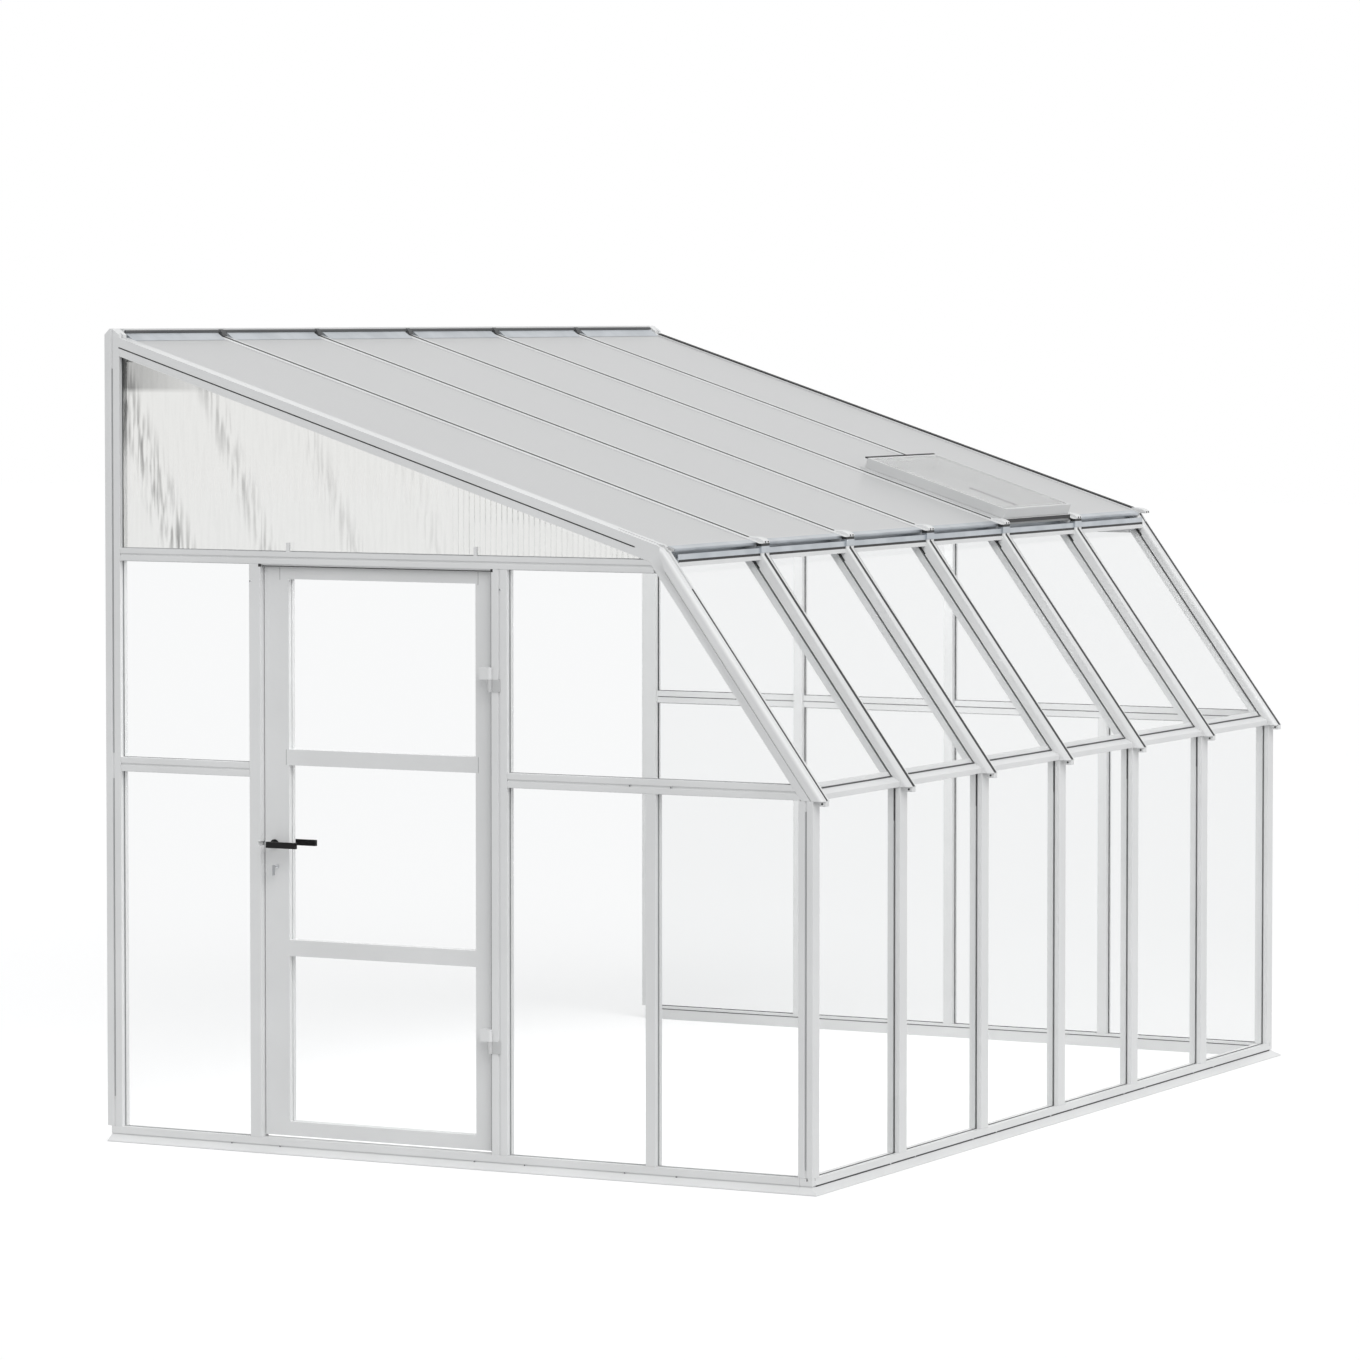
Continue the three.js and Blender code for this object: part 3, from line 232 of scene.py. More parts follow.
def grained(name, dark, light, rough, metal=0.0, fine=900.0, slow=3.0, bump=0.02, coat=0.0):
    """A material whose colour and roughness drift between two values, with a fine skin."""
    made, tree, shader = new_material(name, {"Metallic": metal, "Coat Weight": coat})
    grain = add_grain(tree, shader, fine, slow, rough)
    tones = two_tones(tree, dark, 0.35, light, 0.65)
    skin = filled(tree, "ShaderNodeBump", {"Strength": bump, "Distance": 0.0005})
    joined(
        tree,
        (grain, "Drift", tones, "Fac"),
        (tones, "Color", shader, "Base Color"),
        (grain, "Height", skin, "Height"),
        (skin, "Normal", shader, "Normal"),
    )
    return made


white_coat = grained("white powder coat", (0.745, 0.75, 0.75), (0.785, 0.79, 0.79), (0.30, 0.40), coat=0.2)


def finished(bm, name, material, body, replaced=(), smooth=math.radians(50)):
    """Turns a bmesh into a piece that rides on a body and stands for the named CAD nodes."""
    mesh = bpy.data.meshes.new(name)
    bm.to_mesh(mesh)
    bm.free()
    mesh.materials.append(material)
    for face in mesh.polygons:
        face.use_smooth = True
    mesh.set_sharp_from_angle(angle=smooth)
    piece = bpy.data.objects.new(name, mesh)
    scene.collection.objects.link(piece)
    even = piece.modifiers.new("even normals", "WEIGHTED_NORMAL")
    even.keep_sharp = True
    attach(piece, body)
    if replaced:
        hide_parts(*replaced)
    return piece


same_point, flat_turn, sharp_turn = 1e-5, math.radians(1), math.radians(25)


def cad_copy(node):
    """A CAD node's solid with its triangles joined up into flat faces."""
    bm = bmesh.new()
    bm.from_mesh(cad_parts[node].data)
    bmesh.ops.remove_doubles(bm, verts=bm.verts, dist=same_point)
    bmesh.ops.dissolve_limit(bm, angle_limit=flat_turn, verts=bm.verts, edges=bm.edges)
    return bm


def eased(bm, width, segments=2, only=None, clamp=True):
    """Rounds the sharp edges of a solid, or those that a test picks."""
    edges = [e for e in bm.edges if len(e.link_faces) == 2 and e.calc_face_angle(0) > sharp_turn]
    if only:
        edges = [e for e in edges if only(e)]
    if edges:
        bmesh.ops.bevel(
            bm, geom=edges, offset=width, segments=segments, profile=0.5, affect="EDGES", clamp_overlap=clamp
        )


bar_easing, rail_easing = 0.0012, 0.0015


def dressed(node, material, body, width=bar_easing):
    """The CAD node with its edges eased as on the real bar."""
    bm = cad_copy(node)
    eased(bm, width)
    return finished(bm, node + "_bar", material, body, [node])


for node in ("base_rail_front", "base_rail_near", "base_rail_far"):
    dressed(node, white_coat, "frame", rail_easing)


# Posts and rails.
# White extruded bars of the same coat, mitred or butted and screwed from inside. Each has a trim
# groove down its outer face, and its long edges are eased by the die.
front_posts = [f"front_post_{i}" for i in range(1, 6)]
far_posts = [f"far_post_{i}" for i in range(1, 4)]
near_posts = ["door_jamb_lock", "door_jamb_hinge", "gable_post_near"]
for node in (
    ["wall_post_near", "wall_post_far", "wall_rail", "corner_post_near", "corner_post_far", "knee_rail"]
    + front_posts
    + far_posts
    + near_posts
    + ["transom_near", "transom_far", "mid_rail_side", "mid_rail_corner", "mid_rail_far"]
):
    dressed(node, white_coat, "frame")


# Screws.
# Pan-head stainless screws hold the posts to the base rails and the middle rails to the posts. They
# sit in the trim grooves, in pairs beside each post, and two more hold the door's jambs.
bright_steel = grained(
    "brushed steel", (0.55, 0.56, 0.57), (0.64, 0.65, 0.66), (0.24, 0.34), metal=1.0, slow=30.0
)


def rubber(name, dark, light):
    """A dull rubber with a fine skin."""
    return grained(name, dark, light, (0.5, 0.62), fine=1400.0)


black_rubber = rubber("black glazing rubber", (0.012, 0.012, 0.013), (0.02, 0.02, 0.021))
fixings = bpy.data.node_groups.new("round fixings", "GeometryNodeTree")
for name, kind, in_out in (
    ("Places", "NodeSocketGeometry", "INPUT"),
    ("Radius", "NodeSocketFloat", "INPUT"),
    ("Top Radius", "NodeSocketFloat", "INPUT"),
    ("Height", "NodeSocketFloat", "INPUT"),
    ("Finish", "NodeSocketMaterial", "INPUT"),
    ("Fixings", "NodeSocketGeometry", "OUTPUT"),
):
    fixings.interface.new_socket(name, in_out=in_out, socket_type=kind)
ins = fixings.nodes.new("NodeGroupInput")
outs = fixings.nodes.new("NodeGroupOutput")
head_shape = fixings.nodes.new("GeometryNodeMeshCone")
head_shape.inputs["Vertices"].default_value = 14
facing = fixings.nodes.new("GeometryNodeInputNamedAttribute")
facing.data_type = "FLOAT_VECTOR"
facing.inputs["Name"].default_value = "facing"
aim = fixings.nodes.new("FunctionNodeAlignRotationToVector")
aim.axis = "Z"
spread = fixings.nodes.new("GeometryNodeInstanceOnPoints")
real = fixings.nodes.new("GeometryNodeRealizeInstances")
coat = fixings.nodes.new("GeometryNodeSetMaterial")
joined(
    fixings,
    (ins, "Radius", head_shape, "Radius Bottom"),
    (ins, "Top Radius", head_shape, "Radius Top"),
    (ins, "Height", head_shape, "Depth"),
    (ins, "Places", spread, "Points"),
    (head_shape, "Mesh", spread, "Instance"),
    (facing, "Attribute", aim, "Vector"),
    (aim, "Rotation", spread, "Rotation"),
    (spread, "Instances", real, "Geometry"),
    (real, "Geometry", coat, "Geometry"),
    (ins, "Finish", coat, "Material"),
    (coat, "Geometry", outs, "Fixings"),
)


def fixed_round(name, places, body, slot, material, radius, top_radius, height):
    """Round fixings at [point, direction] places, made by the tree and turned into one plain mesh."""
    mesh = bpy.data.meshes.new(name + " places")
    mesh.from_pydata([at for at, way in places], [], [])
    ways = mesh.attributes.new("facing", "FLOAT_VECTOR", "POINT")
    for k, (at, way) in enumerate(places):
        ways.data[k].vector = way
    points = bpy.data.objects.new(name + " places", mesh)
    scene.collection.objects.link(points)
    maker = points.modifiers.new("fixings", "NODES")
    maker.node_group = fixings
    values = {"Radius": radius, "Top Radius": top_radius, "Height": height, "Finish": material}
    for item in fixings.interface.items_tree:
        if item.in_out == "INPUT" and item.name in values:
            maker[item.identifier] = values[item.name]
    made = bpy.data.meshes.new_from_object(points.evaluated_get(bpy.context.evaluated_depsgraph_get()))
    points.modifiers.remove(maker)
    bpy.data.objects.remove(points)
    made.name = name
    piece = bpy.data.objects.new(name, made)
    scene.collection.objects.link(piece)
    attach(piece, body)
    return piece


def middle_of(node):
    """The middle of a bar."""
    low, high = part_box(node)
    return (low + high) / 2


beside_post, beside_rail, groove_height, rail_height, groove_sink = 0.093, 0.074, 0.024, 1.2635, 0.0004
gable_face = -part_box("wall_post_near")[0].x
front_line = -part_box("corner_post_near")[0].y
near_way, far_way, front_way = (-1, 0, 0), (1, 0, 0), (0, -1, 0)
groove_face = gable_face - groove_sink
places = []
for node in near_posts:
    for way in (-1, 1):
        places.append(((-groove_face, middle_of(node).y + way * beside_post, groove_height), near_way))
for node in far_posts:
    for way in (-1, 1):
        places.append(((groove_face, middle_of(node).y + way * beside_post, groove_height), far_way))
        places.append(((groove_face, middle_of(node).y + way * beside_rail, rail_height), far_way))
for node in front_posts:
    for way in (-1, 1):
        x = middle_of(node).x + way * beside_post
        places.append(((x, groove_sink - front_line, groove_height), front_way))
for way in (-1, 1):
    places.append(((-groove_face, middle_of("gable_post_near").y + way * beside_rail, rail_height), near_way))
for node, aside, height in (("door_jamb_lock", 0.016, 1.885), ("door_jamb_hinge", -0.004, 1.877)):
    places.append(((-gable_face, middle_of(node).y + aside, height), near_way))
head_radius, crown_share, head_height = 0.0036, 0.7, 0.0022
screw_head = (head_radius, head_radius * crown_share, head_height)
fixed_round("frame_screws", places, "frame", "steel_fittings", bright_steel, *screw_head)
# A black disc on each head is painted shade for its drive recess.
recess_radius, recess_sink, recess_height = 0.0019, 0.0002, 0.0004
lift = head_height - recess_sink
recess_shade_places = [(tuple(a + w * lift for a, w in zip(at, way)), way) for at, way in places]
screw_recess = (recess_radius, recess_radius, recess_height)
fixed_round("frame_screw_recess_shade", recess_shade_places, "frame", "black_fittings", black_rubber, *screw_recess)


# Rafters.
# One extrusion each, bent at the eave: nearly flush with the sheets on the roof, standing proud
# with round shoulders over the clear slope, and slotted down the middle. A black strip fills the
# slot and caps it, as painted shade for the deep slot.
wall_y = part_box("wall_post_near")[1].y
ridge_height, eave_distance, eave_height = 2.668, 2.065, 2.002
knee_distance, knee_height = 2.604, 1.262


def line_of(start_d, start_z, end_d, end_z):
    """A glazing line seen from the side: its start, its direction and its outward normal."""
    start, along = Vector((start_d, start_z)), Vector((end_d - start_d, end_z - start_z)).normalized()
    return start, along, Vector((abs(along.y), abs(along.x)))


roof = line_of(0.0, ridge_height, eave_distance, eave_height)
slope = line_of(knee_distance, knee_height, eave_distance, eave_height)


def on(line, run, rise):
    """A point of [distance from the wall, height] at a run along the line and a rise off it."""
    start, along, outward = line
    return start + along * run + outward * rise


def rise_over(line, y, z):
    """How far a point stands off the line."""
    start, along, outward = line
    return (Vector((wall_y - y, z)) - start).dot(outward)


def run_to(line, z, rise):
    """The run along the line at which a rise off it reaches a height."""
    start, along, outward = line
    return (z - start.y - outward.y * rise) / along.y


def at_height(line, z, rise):
    """The point at that height and rise."""
    return on(line, run_to(line, z, rise), rise)


def corner_of(roof_rise, slope_rise):
    """Where the raised roof line meets the raised slope line."""
    a, b = on(roof, 0, roof_rise), on(slope, 0, slope_rise)
    cross = roof[1].x * slope[1].y - roof[1].y * slope[1].x
    run = ((b.x - a.x) * slope[1].y - (b.y - a.y) * slope[1].x) / cross
    return on(roof, run, roof_rise)


def add_solid(bm, first, last):
    """A closed solid between two loops of points, added to a bmesh."""
    ends = [[bm.verts.new(point) for point in loop] for loop in (first, last)]
    faces = [bm.faces.new(ends[0]), bm.faces.new(list(reversed(ends[1])))]
    for i in range(len(first)):
        j = (i + 1) % len(first)
        faces.append(bm.faces.new((ends[0][i], ends[1][i], ends[1][j], ends[0][j])))
    bmesh.ops.recalc_face_normals(bm, faces=faces)


def prism_x(bm, outline, x0, x1):
    """A section of [distance, height] points run along X."""
    add_solid(bm, *([(x, wall_y - p[0], p[1]) for p in outline] for x in (x0, x1)))


def rect(u0, u1, v0, v1):
    """The corners of a rectangle."""
    return [(u0, v0), (u1, v0), (u1, v1), (u0, v1)]


def band(line, start, end, low, high):
    """A flat strip laid along a glazing line, as a section."""
    return [on(line, start, low), on(line, end, low), on(line, end, high), on(line, start, high)]


roof_outer, slope_outer, bar_inner = 0.031, 0.036, -0.027
bay_pitch, bay_count, bar_half = 0.634, 6, 0.029
half_length = (bay_count * bay_pitch + 2 * bar_half) / 2


def bar_centre(i):
    """The X of a rafter, the near gable's being 0."""
    return (i - bay_count / 2) * bay_pitch


outward_both = Vector((0, -0.56, 0.83))
shoulder_depth, flank_gap, side_facing, top_facing = 0.006, 0.002, 0.9, 0.6


def is_shoulder(edge, over_slope):
    """A long outer edge of a rafter, on the slope or on the roof."""
    middle = (edge.verts[0].co + edge.verts[1].co) / 2
    over_roof_rise = rise_over(roof, middle.y, middle.z) - roof_outer
    over_slope_rise = rise_over(slope, middle.y, middle.z) - slope_outer
    if max(over_roof_rise, over_slope_rise) < -shoulder_depth:
        return False
    if (over_slope_rise > over_roof_rise) != over_slope:
        return False
    sides = [f for f in edge.link_faces if abs(f.normal.x) > side_facing]
    tops = [f for f in edge.link_faces if f.normal.dot(outward_both) > top_facing]
    nearest_bar = round(middle.x / bay_pitch) * bay_pitch
    return bool(sides and tops) and abs(abs(middle.x - nearest_bar) - bar_half) < flank_gap


shoulder_radius, roof_easing, end_easing = 0.016, 0.002, 0.0008
long_edge, square_turn = 0.03, math.radians(60)
for i in range(bay_count + 1):
    bm = cad_copy(f"rafter_{i + 1}")
    eased(bm, shoulder_radius, 6, lambda e: is_shoulder(e, True), clamp=False)
    eased(bm, roof_easing, 2, lambda e: is_shoulder(e, False))
    eased(bm, end_easing, 1, lambda e: e.calc_length() > long_edge and e.calc_face_angle(0) > square_turn)
    finished(bm, f"rafter_{i + 1}_bar", white_coat, "frame", [f"rafter_{i + 1}"])

slot_half, slot_depth, slot_gap = 0.0052, 0.007, 0.0002
bend_radius, bend_steps = 0.070, 8
slot_shade_foot, cap_slope_top = 1.2405, 1.9835


def bend_path(roof_rise, slope_rise, radius):
    """Points round the bend of a rafter, from the roof line to the slope line."""
    corner = corner_of(roof_rise, slope_rise)
    turn = roof[2].angle(slope[2])
    middle = corner - roof[1] * (radius * math.tan(turn / 2)) - roof[2] * radius
    points = []
    for k in range(bend_steps + 1):
        share = k / bend_steps
        way = (roof[2] * math.sin((1 - share) * turn) + slope[2] * math.sin(share * turn)) / math.sin(turn)
        points.append(middle + way * radius)
    return points


def slot_shade_outline(start, low_off, high_off):
    """The black slot strip's outline, painted shade, from the rafter's upper end round the bend to its foot.
    """
    low = [roof_outer + low_off, slope_outer + low_off]
    high = [roof_outer + high_off, slope_outer + high_off]
    outline = [on(roof, start, low[0])] + bend_path(low[0], low[1], bend_radius + low_off)
    outline += [at_height(slope, slot_shade_foot, low[1]), at_height(slope, slot_shade_foot, high[1])]
    outline += list(reversed(bend_path(high[0], high[1], bend_radius + high_off)))
    return outline + [on(roof, start, high[0])]


# The near rafter's slot is closed by a white cover on the roof. Each other one holds a black strip
# with a flat cap on it, a wider one at the far gable. The black is painted shade for the deep slot.
cap_half, cap_rise, far_cap_extra = 0.0072, 0.0011, 0.0035
gable_start, inner_start, bend_reach, cover_gap, cap_end_gap = 0.0623, 0.0423, 0.16, 0.0001, 0.001
roof_run = math.hypot(eave_distance, ridge_height - eave_height)
slope_run = run_to(slope, eave_height, 0.0)
for i in range(bay_count + 1):
    centre = bar_centre(i)
    start = gable_start if i in (0, bay_count) else inner_start
    bm = bmesh.new()
    if i == 0:
        cover = bmesh.new()
        low, high = roof_outer + slot_gap - slot_depth, roof_outer - cover_gap
        outline = band(roof, start, roof_run - bend_reach, low, high)
        prism_x(cover, outline, centre - slot_half, centre + slot_half)
        finished(cover, "rafter_slot_cover", white_coat, "frame")
        low, high = slope_outer + slot_gap - slot_depth, slope_outer - slot_gap
        outline = band(slope, run_to(slope, slot_shade_foot, high), slope_run - bend_reach, low, high)
        prism_x(bm, outline, centre - slot_half, centre + slot_half)
    else:
        outline = slot_shade_outline(start, slot_gap - slot_depth, -slot_gap)
        prism_x(bm, outline, centre - slot_half, centre + slot_half)
        extra = far_cap_extra if i == bay_count else 0.0
        low, high, reach = roof_outer + slot_gap / 2, roof_outer + cap_rise + extra, cap_half + extra
        prism_x(bm, band(roof, start, roof_run - cap_end_gap, low, high), centre - reach, centre + reach)
        low, high = slope_outer + slot_gap / 2, slope_outer + cap_rise
        foot, top = run_to(slope, slot_shade_foot, high), run_to(slope, cap_slope_top, high)
        prism_x(bm, band(slope, foot, top, low, high), centre - cap_half, centre + cap_half)
    finished(bm, f"rafter_slot_shade_{i + 1}", black_rubber, "frame")

# A black strip in the groove along the outer flank of each gable rafter, close to its lower edge, is painted
# shade for the groove.
groove_shade_low, groove_shade_high, joint_sunk, joint_proud = -0.0021, 0.0015, 0.001, 0.0003
groove_shade_start, groove_shade_end_gap = 0.0585, 0.075
outline = band(roof, groove_shade_start, roof_run - groove_shade_end_gap, groove_shade_low, groove_shade_high)
for side, name in ((-1, "near"), (1, "far")):
    bm = bmesh.new()
    prism_x(bm, outline, side * (half_length - joint_sunk), side * (half_length + joint_proud))
    finished(bm, f"rafter_groove_shade_{name}", black_rubber, "frame")

# A thin grey strip in the slot of each wall post and corner post is painted shade for the slot.
grey_rubber = rubber("grey glazing rubber", (0.36, 0.365, 0.37), (0.42, 0.425, 0.43))
slot_floor, strip_half, strip_sunk, strip_proud = 1.927, 0.0016, 0.0006, 0.0018
wall_slot, corner_slot = 0.029, wall_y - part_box("corner_post_near")[0].y - 0.0255
lines = ((wall_slot, 0.150, 1.215), (wall_slot, 1.300, 2.580), (corner_slot, 0.075, 1.205))
bm = bmesh.new()
for side in (-1, 1):
    for slot, foot, top in lines:
        outline = rect(slot - strip_half, slot + strip_half, foot, top)
        prism_x(bm, outline, side * (slot_floor - strip_sunk), side * (slot_floor + strip_proud))
finished(bm, "post_slot_shade", grey_rubber, "frame")


# Clear panes.
# Horticultural glass 4 mm thick, held in rubber channels in the grooves of the bars. The rubber
# shows as a thin line where a pane meets a bar.
clear_glass, tree, shader = new_material(
    "clear glass",
    {"Base Color": (0.94, 0.943, 0.943, 1), "Roughness": 0.02, "IOR": 1.1, "Transmission Weight": 1.0},
)
path = tree.nodes.new("ShaderNodeLightPath")
lit = tree.nodes.new("ShaderNodeMath")
lit.operation = "MAXIMUM"
stops = filled(tree, "ShaderNodeMapRange", {"To Min": 1.0, "To Max": 0.1})
joined(
    tree,
    (path, "Is Shadow Ray", lit, 0),
    (path, "Is Diffuse Ray", lit, 1),
    (lit, 0, stops, "Value"),
    (stops, "Result", shader, "Alpha"),
)


def given(node, material):
    """Puts a material on a CAD node that stays as it is."""
    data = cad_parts[node].data
    data.materials.clear()
    data.materials.append(material)


for wall in ("side", "corner", "far", "front", "slope", "door"):
    given(f"{wall}_glazing", clear_glass)


def inset(points, width):
    """A convex outline moved inwards by a width."""
    size = len(points)
    area = sum(points[i].cross(points[(i + 1) % size]) for i in range(size))
    way = 1.0 if area > 0 else -1.0
    moved = []
    for i in range(size):
        a, b, c = points[i - 1], points[i], points[(i + 1) % size]
        first, second = (b - a).normalized(), (c - b).normalized()
        n1, n2 = Vector((-first.y, first.x)) * way, Vector((-second.y, second.x)) * way
        moved.append(b + (n1 + n2) * (width / (1.0 + n1.dot(n2))))
    return moved


def add_ring(bm, outline, width, place, low, high):
    """A flat ring round an outline. Place turns a point and a depth into the frame's own axes."""
    outer = [Vector(p) for p in outline]
    inner = inset(outer, width)
    loops = []
    for depth in (low, high):
        for loop in (outer, inner):
            loops.append([bm.verts.new(place(p, depth)) for p in loop])
    size = len(outer)
    faces = []
    for i in range(size):
        j = (i + 1) % size
        for a, b in ((0, 1), (1, 3), (3, 2), (2, 0)):
            faces.append(bm.faces.new((loops[a][i], loops[a][j], loops[b][j], loops[b][i])))
    bmesh.ops.recalc_face_normals(bm, faces=faces)


glass_inset, clear_half, rubber_width, rubber_proud = 0.020, 0.002, 0.0018, 0.0012


def add_rubber(bm, pane, width, place, half=clear_half):
    """The rubber on both faces of a pane, along its edge."""
    for low, high in ((half, half + rubber_proud), (-half - rubber_proud, -half)):
        add_ring(bm, pane, width, place, low, high)


def gable_place(side):
    """Places a point on the near gable's glass, side -1, or the far one's, side 1."""
    return lambda p, depth: (side * (half_length - glass_inset + depth), wall_y - p[0], p[1])


def sides_of(node):
    """A bar's two sides, as distances from the wall."""
    low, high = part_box(node)
    return wall_y - high.y, wall_y - low.y


wall_edge, (post_edge, front) = sides_of("wall_post_near")[1], sides_of("corner_post_near")
base_top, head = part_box("base_rail_front")[1].z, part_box("transom_near")[0].z
mid_low, mid_high = (corner.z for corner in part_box("mid_rail_far"))


def rafter_side(z):
    """Where the inner side of a gable rafter stands at a height, as a distance."""
    return at_height(slope, z, bar_inner).x


def rafter_pane(edge):
    """The upper pane between an upright bar and the gable rafter."""
    return [(edge, mid_high), (rafter_side(mid_high), mid_high), (rafter_side(head), head), (edge, head)]


lock_edge, hinge_edge = sides_of("door_jamb_lock")[0], sides_of("door_jamb_hinge")[1]
post_low, post_high = sides_of("gable_post_near")
near_panes = [
    rect(wall_edge, lock_edge, base_top, mid_low),
    rect(wall_edge, lock_edge, mid_high, head),
    rect(hinge_edge, post_low, base_top, mid_low),
    rect(post_high, post_edge, base_top, mid_low),
    rafter_pane(hinge_edge),
]
far_edges = [wall_edge] + [edge for node in far_posts for edge in sides_of(node)] + [post_edge]
far_bays = list(zip(far_edges[::2], far_edges[1::2]))
far_panes = [rect(start, end, base_top, mid_low) for start, end in far_bays]
far_panes += [rect(start, end, mid_high, head) for start, end in far_bays[:2]]
far_panes += [rafter_pane(far_bays[2][0])]
for name, side, panes, material in (
    ("near_gable_seals", -1, near_panes, grey_rubber),
    ("far_gable_seals", 1, far_panes, black_rubber),
):
    bm = bmesh.new()
    for pane in panes:
        add_rubber(bm, pane, rubber_width, gable_place(side))
    finished(bm, name, material, "frame")


def front_place(p, depth):
    """Places a point of [X, height] on the front glass."""
    return (p[0], wall_y - (front - glass_inset + depth), p[1])


grey_strip = rubber("dark grey slot rubber", (0.06, 0.062, 0.065), (0.08, 0.083, 0.086))
knee_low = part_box("knee_rail")[0].z
front_rubber = 0.0012
uprights = ["corner_post_near", *front_posts, "corner_post_far"]
bm = bmesh.new()
for before, after in zip(uprights, uprights[1:]):
    pane = rect(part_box(before)[1].x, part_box(after)[0].x, base_top, knee_low)
    add_rubber(bm, pane, front_rubber, front_place)
finished(bm, "front_seals", grey_strip, "frame")


def slope_place(p, depth):
    """Places a point of [X, run] on the slope's glass."""
    at = on(slope, p[1], depth)
    return (p[0], wall_y - at.x, at.y)


slope_low, slope_high, slope_rubber = 0.0085, run_to(slope, 1.9595, 0.0), 0.0010
foot_width, foot_low, foot_high, foot_gap = 0.0030, clear_half + 0.0001, 0.0050, 0.0012
edge_rubber, foot_rubber = bmesh.new(), bmesh.new()
for i in range(bay_count):
    low, high = bar_centre(i) + bar_half, bar_centre(i + 1) - bar_half
    add_rubber(edge_rubber, rect(low, high, slope_low, slope_high), slope_rubber, slope_place)
    outline = band(slope, slope_low, slope_low + foot_width, foot_low, foot_high)
    prism_x(foot_rubber, outline, low + foot_gap, high - foot_gap)
finished(edge_rubber, "slope_seals", black_rubber, "frame")
finished(foot_rubber, "slope_foot_seals", grey_strip, "frame")

# The rubber of each front post stands a little proud at its top, under the knee rail.
top_strip_low, top_strip_high, strip_depth, strip_width = 1.128, 1.2375, 0.0215, 0.0030
strip_out, strip_in = 0.0005, 0.0015
bm = bmesh.new()
for node in front_posts:
    low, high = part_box(node)
    at = wall_y - low.y - strip_depth
    outline = rect(at - strip_width, at, top_strip_low, top_strip_high)
    prism_x(bm, outline, low.x - strip_out, low.x + strip_in)
    prism_x(bm, outline, high.x - strip_in, high.x + strip_out)
finished(bm, "post_top_seals", black_rubber, "frame")

# A black strip in the slot of the front base rail is painted shade for the slot.
base_slot_low, base_slot_high, base_slot_reach, slot_sunk, slot_proud = 0.0222, 0.0258, 1.905, 0.002, 0.0003
bm = bmesh.new()
outline = rect(front - slot_sunk, front + slot_proud, base_slot_low, base_slot_high)
prism_x(bm, outline, -base_slot_reach, base_slot_reach)
finished(bm, "base_slot_shade", black_rubber, "frame")

# Thin gaskets line the far gable's bars on the inside.
post_face, rail_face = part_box("far_post_1")[0].x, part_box("mid_rail_far")[0].x
gasket_sunk, gasket_proud = 0.0003, 0.0006
wall_end, front_end, transom_end = 1.27, -1.235, -0.69
bm = bmesh.new()
for x, y, z0, z1 in (
    (post_face, front_end, 0.0385, 0.0415),
    (rail_face, front_end, 1.2625, 1.2652),
    (post_face, transom_end, 1.9615, 1.9640),
):
    prism_x(bm, rect(wall_y - y, wall_y - wall_end, z0, z1), x - gasket_sunk, x + gasket_proud)
finished(bm, "far_gable_inner_gaskets", black_rubber, "frame")


# Roof sheets.
# Twin-wall polycarbonate 8 mm thick with its webs running down the roof, opal so that it reads a
# plain pale grey. Its foot is closed with a bright aluminium strip against water.
sheet_opal, tree, shader = new_material(
    "opal twin-wall sheet", {"Roughness": 0.32, "IOR": 1.25, "Transmission Weight": 0.14}
)
place = tree.nodes.new("ShaderNodeTexCoord")
webs = filled(tree, "ShaderNodeTexWave", {"Scale": 15.0, "Distortion": 0.0})
webs.bands_direction = "X"
tones = two_tones(tree, (0.605, 0.608, 0.608), 0.0, (0.645, 0.648, 0.648), 0.25)
skin = filled(tree, "ShaderNodeBump", {"Strength": 0.08, "Distance": 0.0004})
joined(
    tree,
    (place, "Object", webs, "Vector"),
    (webs, "Fac", tones, "Fac"),
    (tones, "Color", shader, "Base Color"),
    (webs, "Fac", skin, "Height"),
    (skin, "Normal", shader, "Normal"),
)
for i in range(bay_count):
    given(f"roof_panel_{i + 1}", sheet_opal)

mill_metal = grained(
    "mill aluminium", (0.46, 0.49, 0.52), (0.56, 0.59, 0.62), (0.3, 0.42), metal=0.75, slow=8.0
)
sheet_low, sheet_high, sheet_end, vent_bay = 0.020, 0.028, roof_run + 0.038, 4
foot_wall, foot_reach, foot_clear, bar_gap, clip_gap = 0.0012, 0.026, 0.0002, 0.001, 0.0035
under, over, past = sheet_low - foot_clear, sheet_high + foot_clear, sheet_end + foot_clear
foot_section = [
    on(roof, sheet_end - foot_reach, over),
    on(roof, past, over),
    on(roof, past, under),
    on(roof, sheet_end - foot_reach / 2, under),
    on(roof, sheet_end - foot_reach / 2, under - foot_wall),
    on(roof, past + foot_wall, under - foot_wall),
    on(roof, past + foot_wall, over + foot_wall),
    on(roof, sheet_end - foot_reach, over + foot_wall),
]
for i in range(bay_count):
    if i == vent_bay:
        continue
    low = bar_centre(i) + bar_half + bar_gap + (clip_gap if i else 0.0)
    high = bar_centre(i + 1) - bar_half - bar_gap - (clip_gap if i == bay_count - 1 else 0.0)
    bm = bmesh.new()
    prism_x(bm, foot_section, low, high)
    finished(bm, f"sheet_foot_strip_{i + 1}", mill_metal, "frame", smooth=math.radians(30))


# Fluted gable sheets.
# Clear polycarbonate with upright flutes. The dark streaks that the flutes smear out of the frame
# behind are painted into its colour as painted refraction, with painted shade in its upper corner
# by the wall and down the wall post. Each sheet stands in grooves of the transom, the wall post and
# the gable rafter.
fluted, tree, shader = new_material("fluted sheet", {"IOR": 1.45, "Transmission Weight": 1.0})
add_grain(tree, shader, 600.0, 6.0, (0.03, 0.07))


def step_of(operation, first, second, third=None):
    """One Math node of the sheet's material: sockets are linked and numbers are set."""
    node = tree.nodes.new("ShaderNodeMath")
    node.operation = operation
    for socket, value in zip(node.inputs, (first, second, third)):
        if isinstance(value, bpy.types.NodeSocket):
            tree.links.new(value, socket)
        elif value is not None:
            socket.default_value = value
    return node.outputs[0]


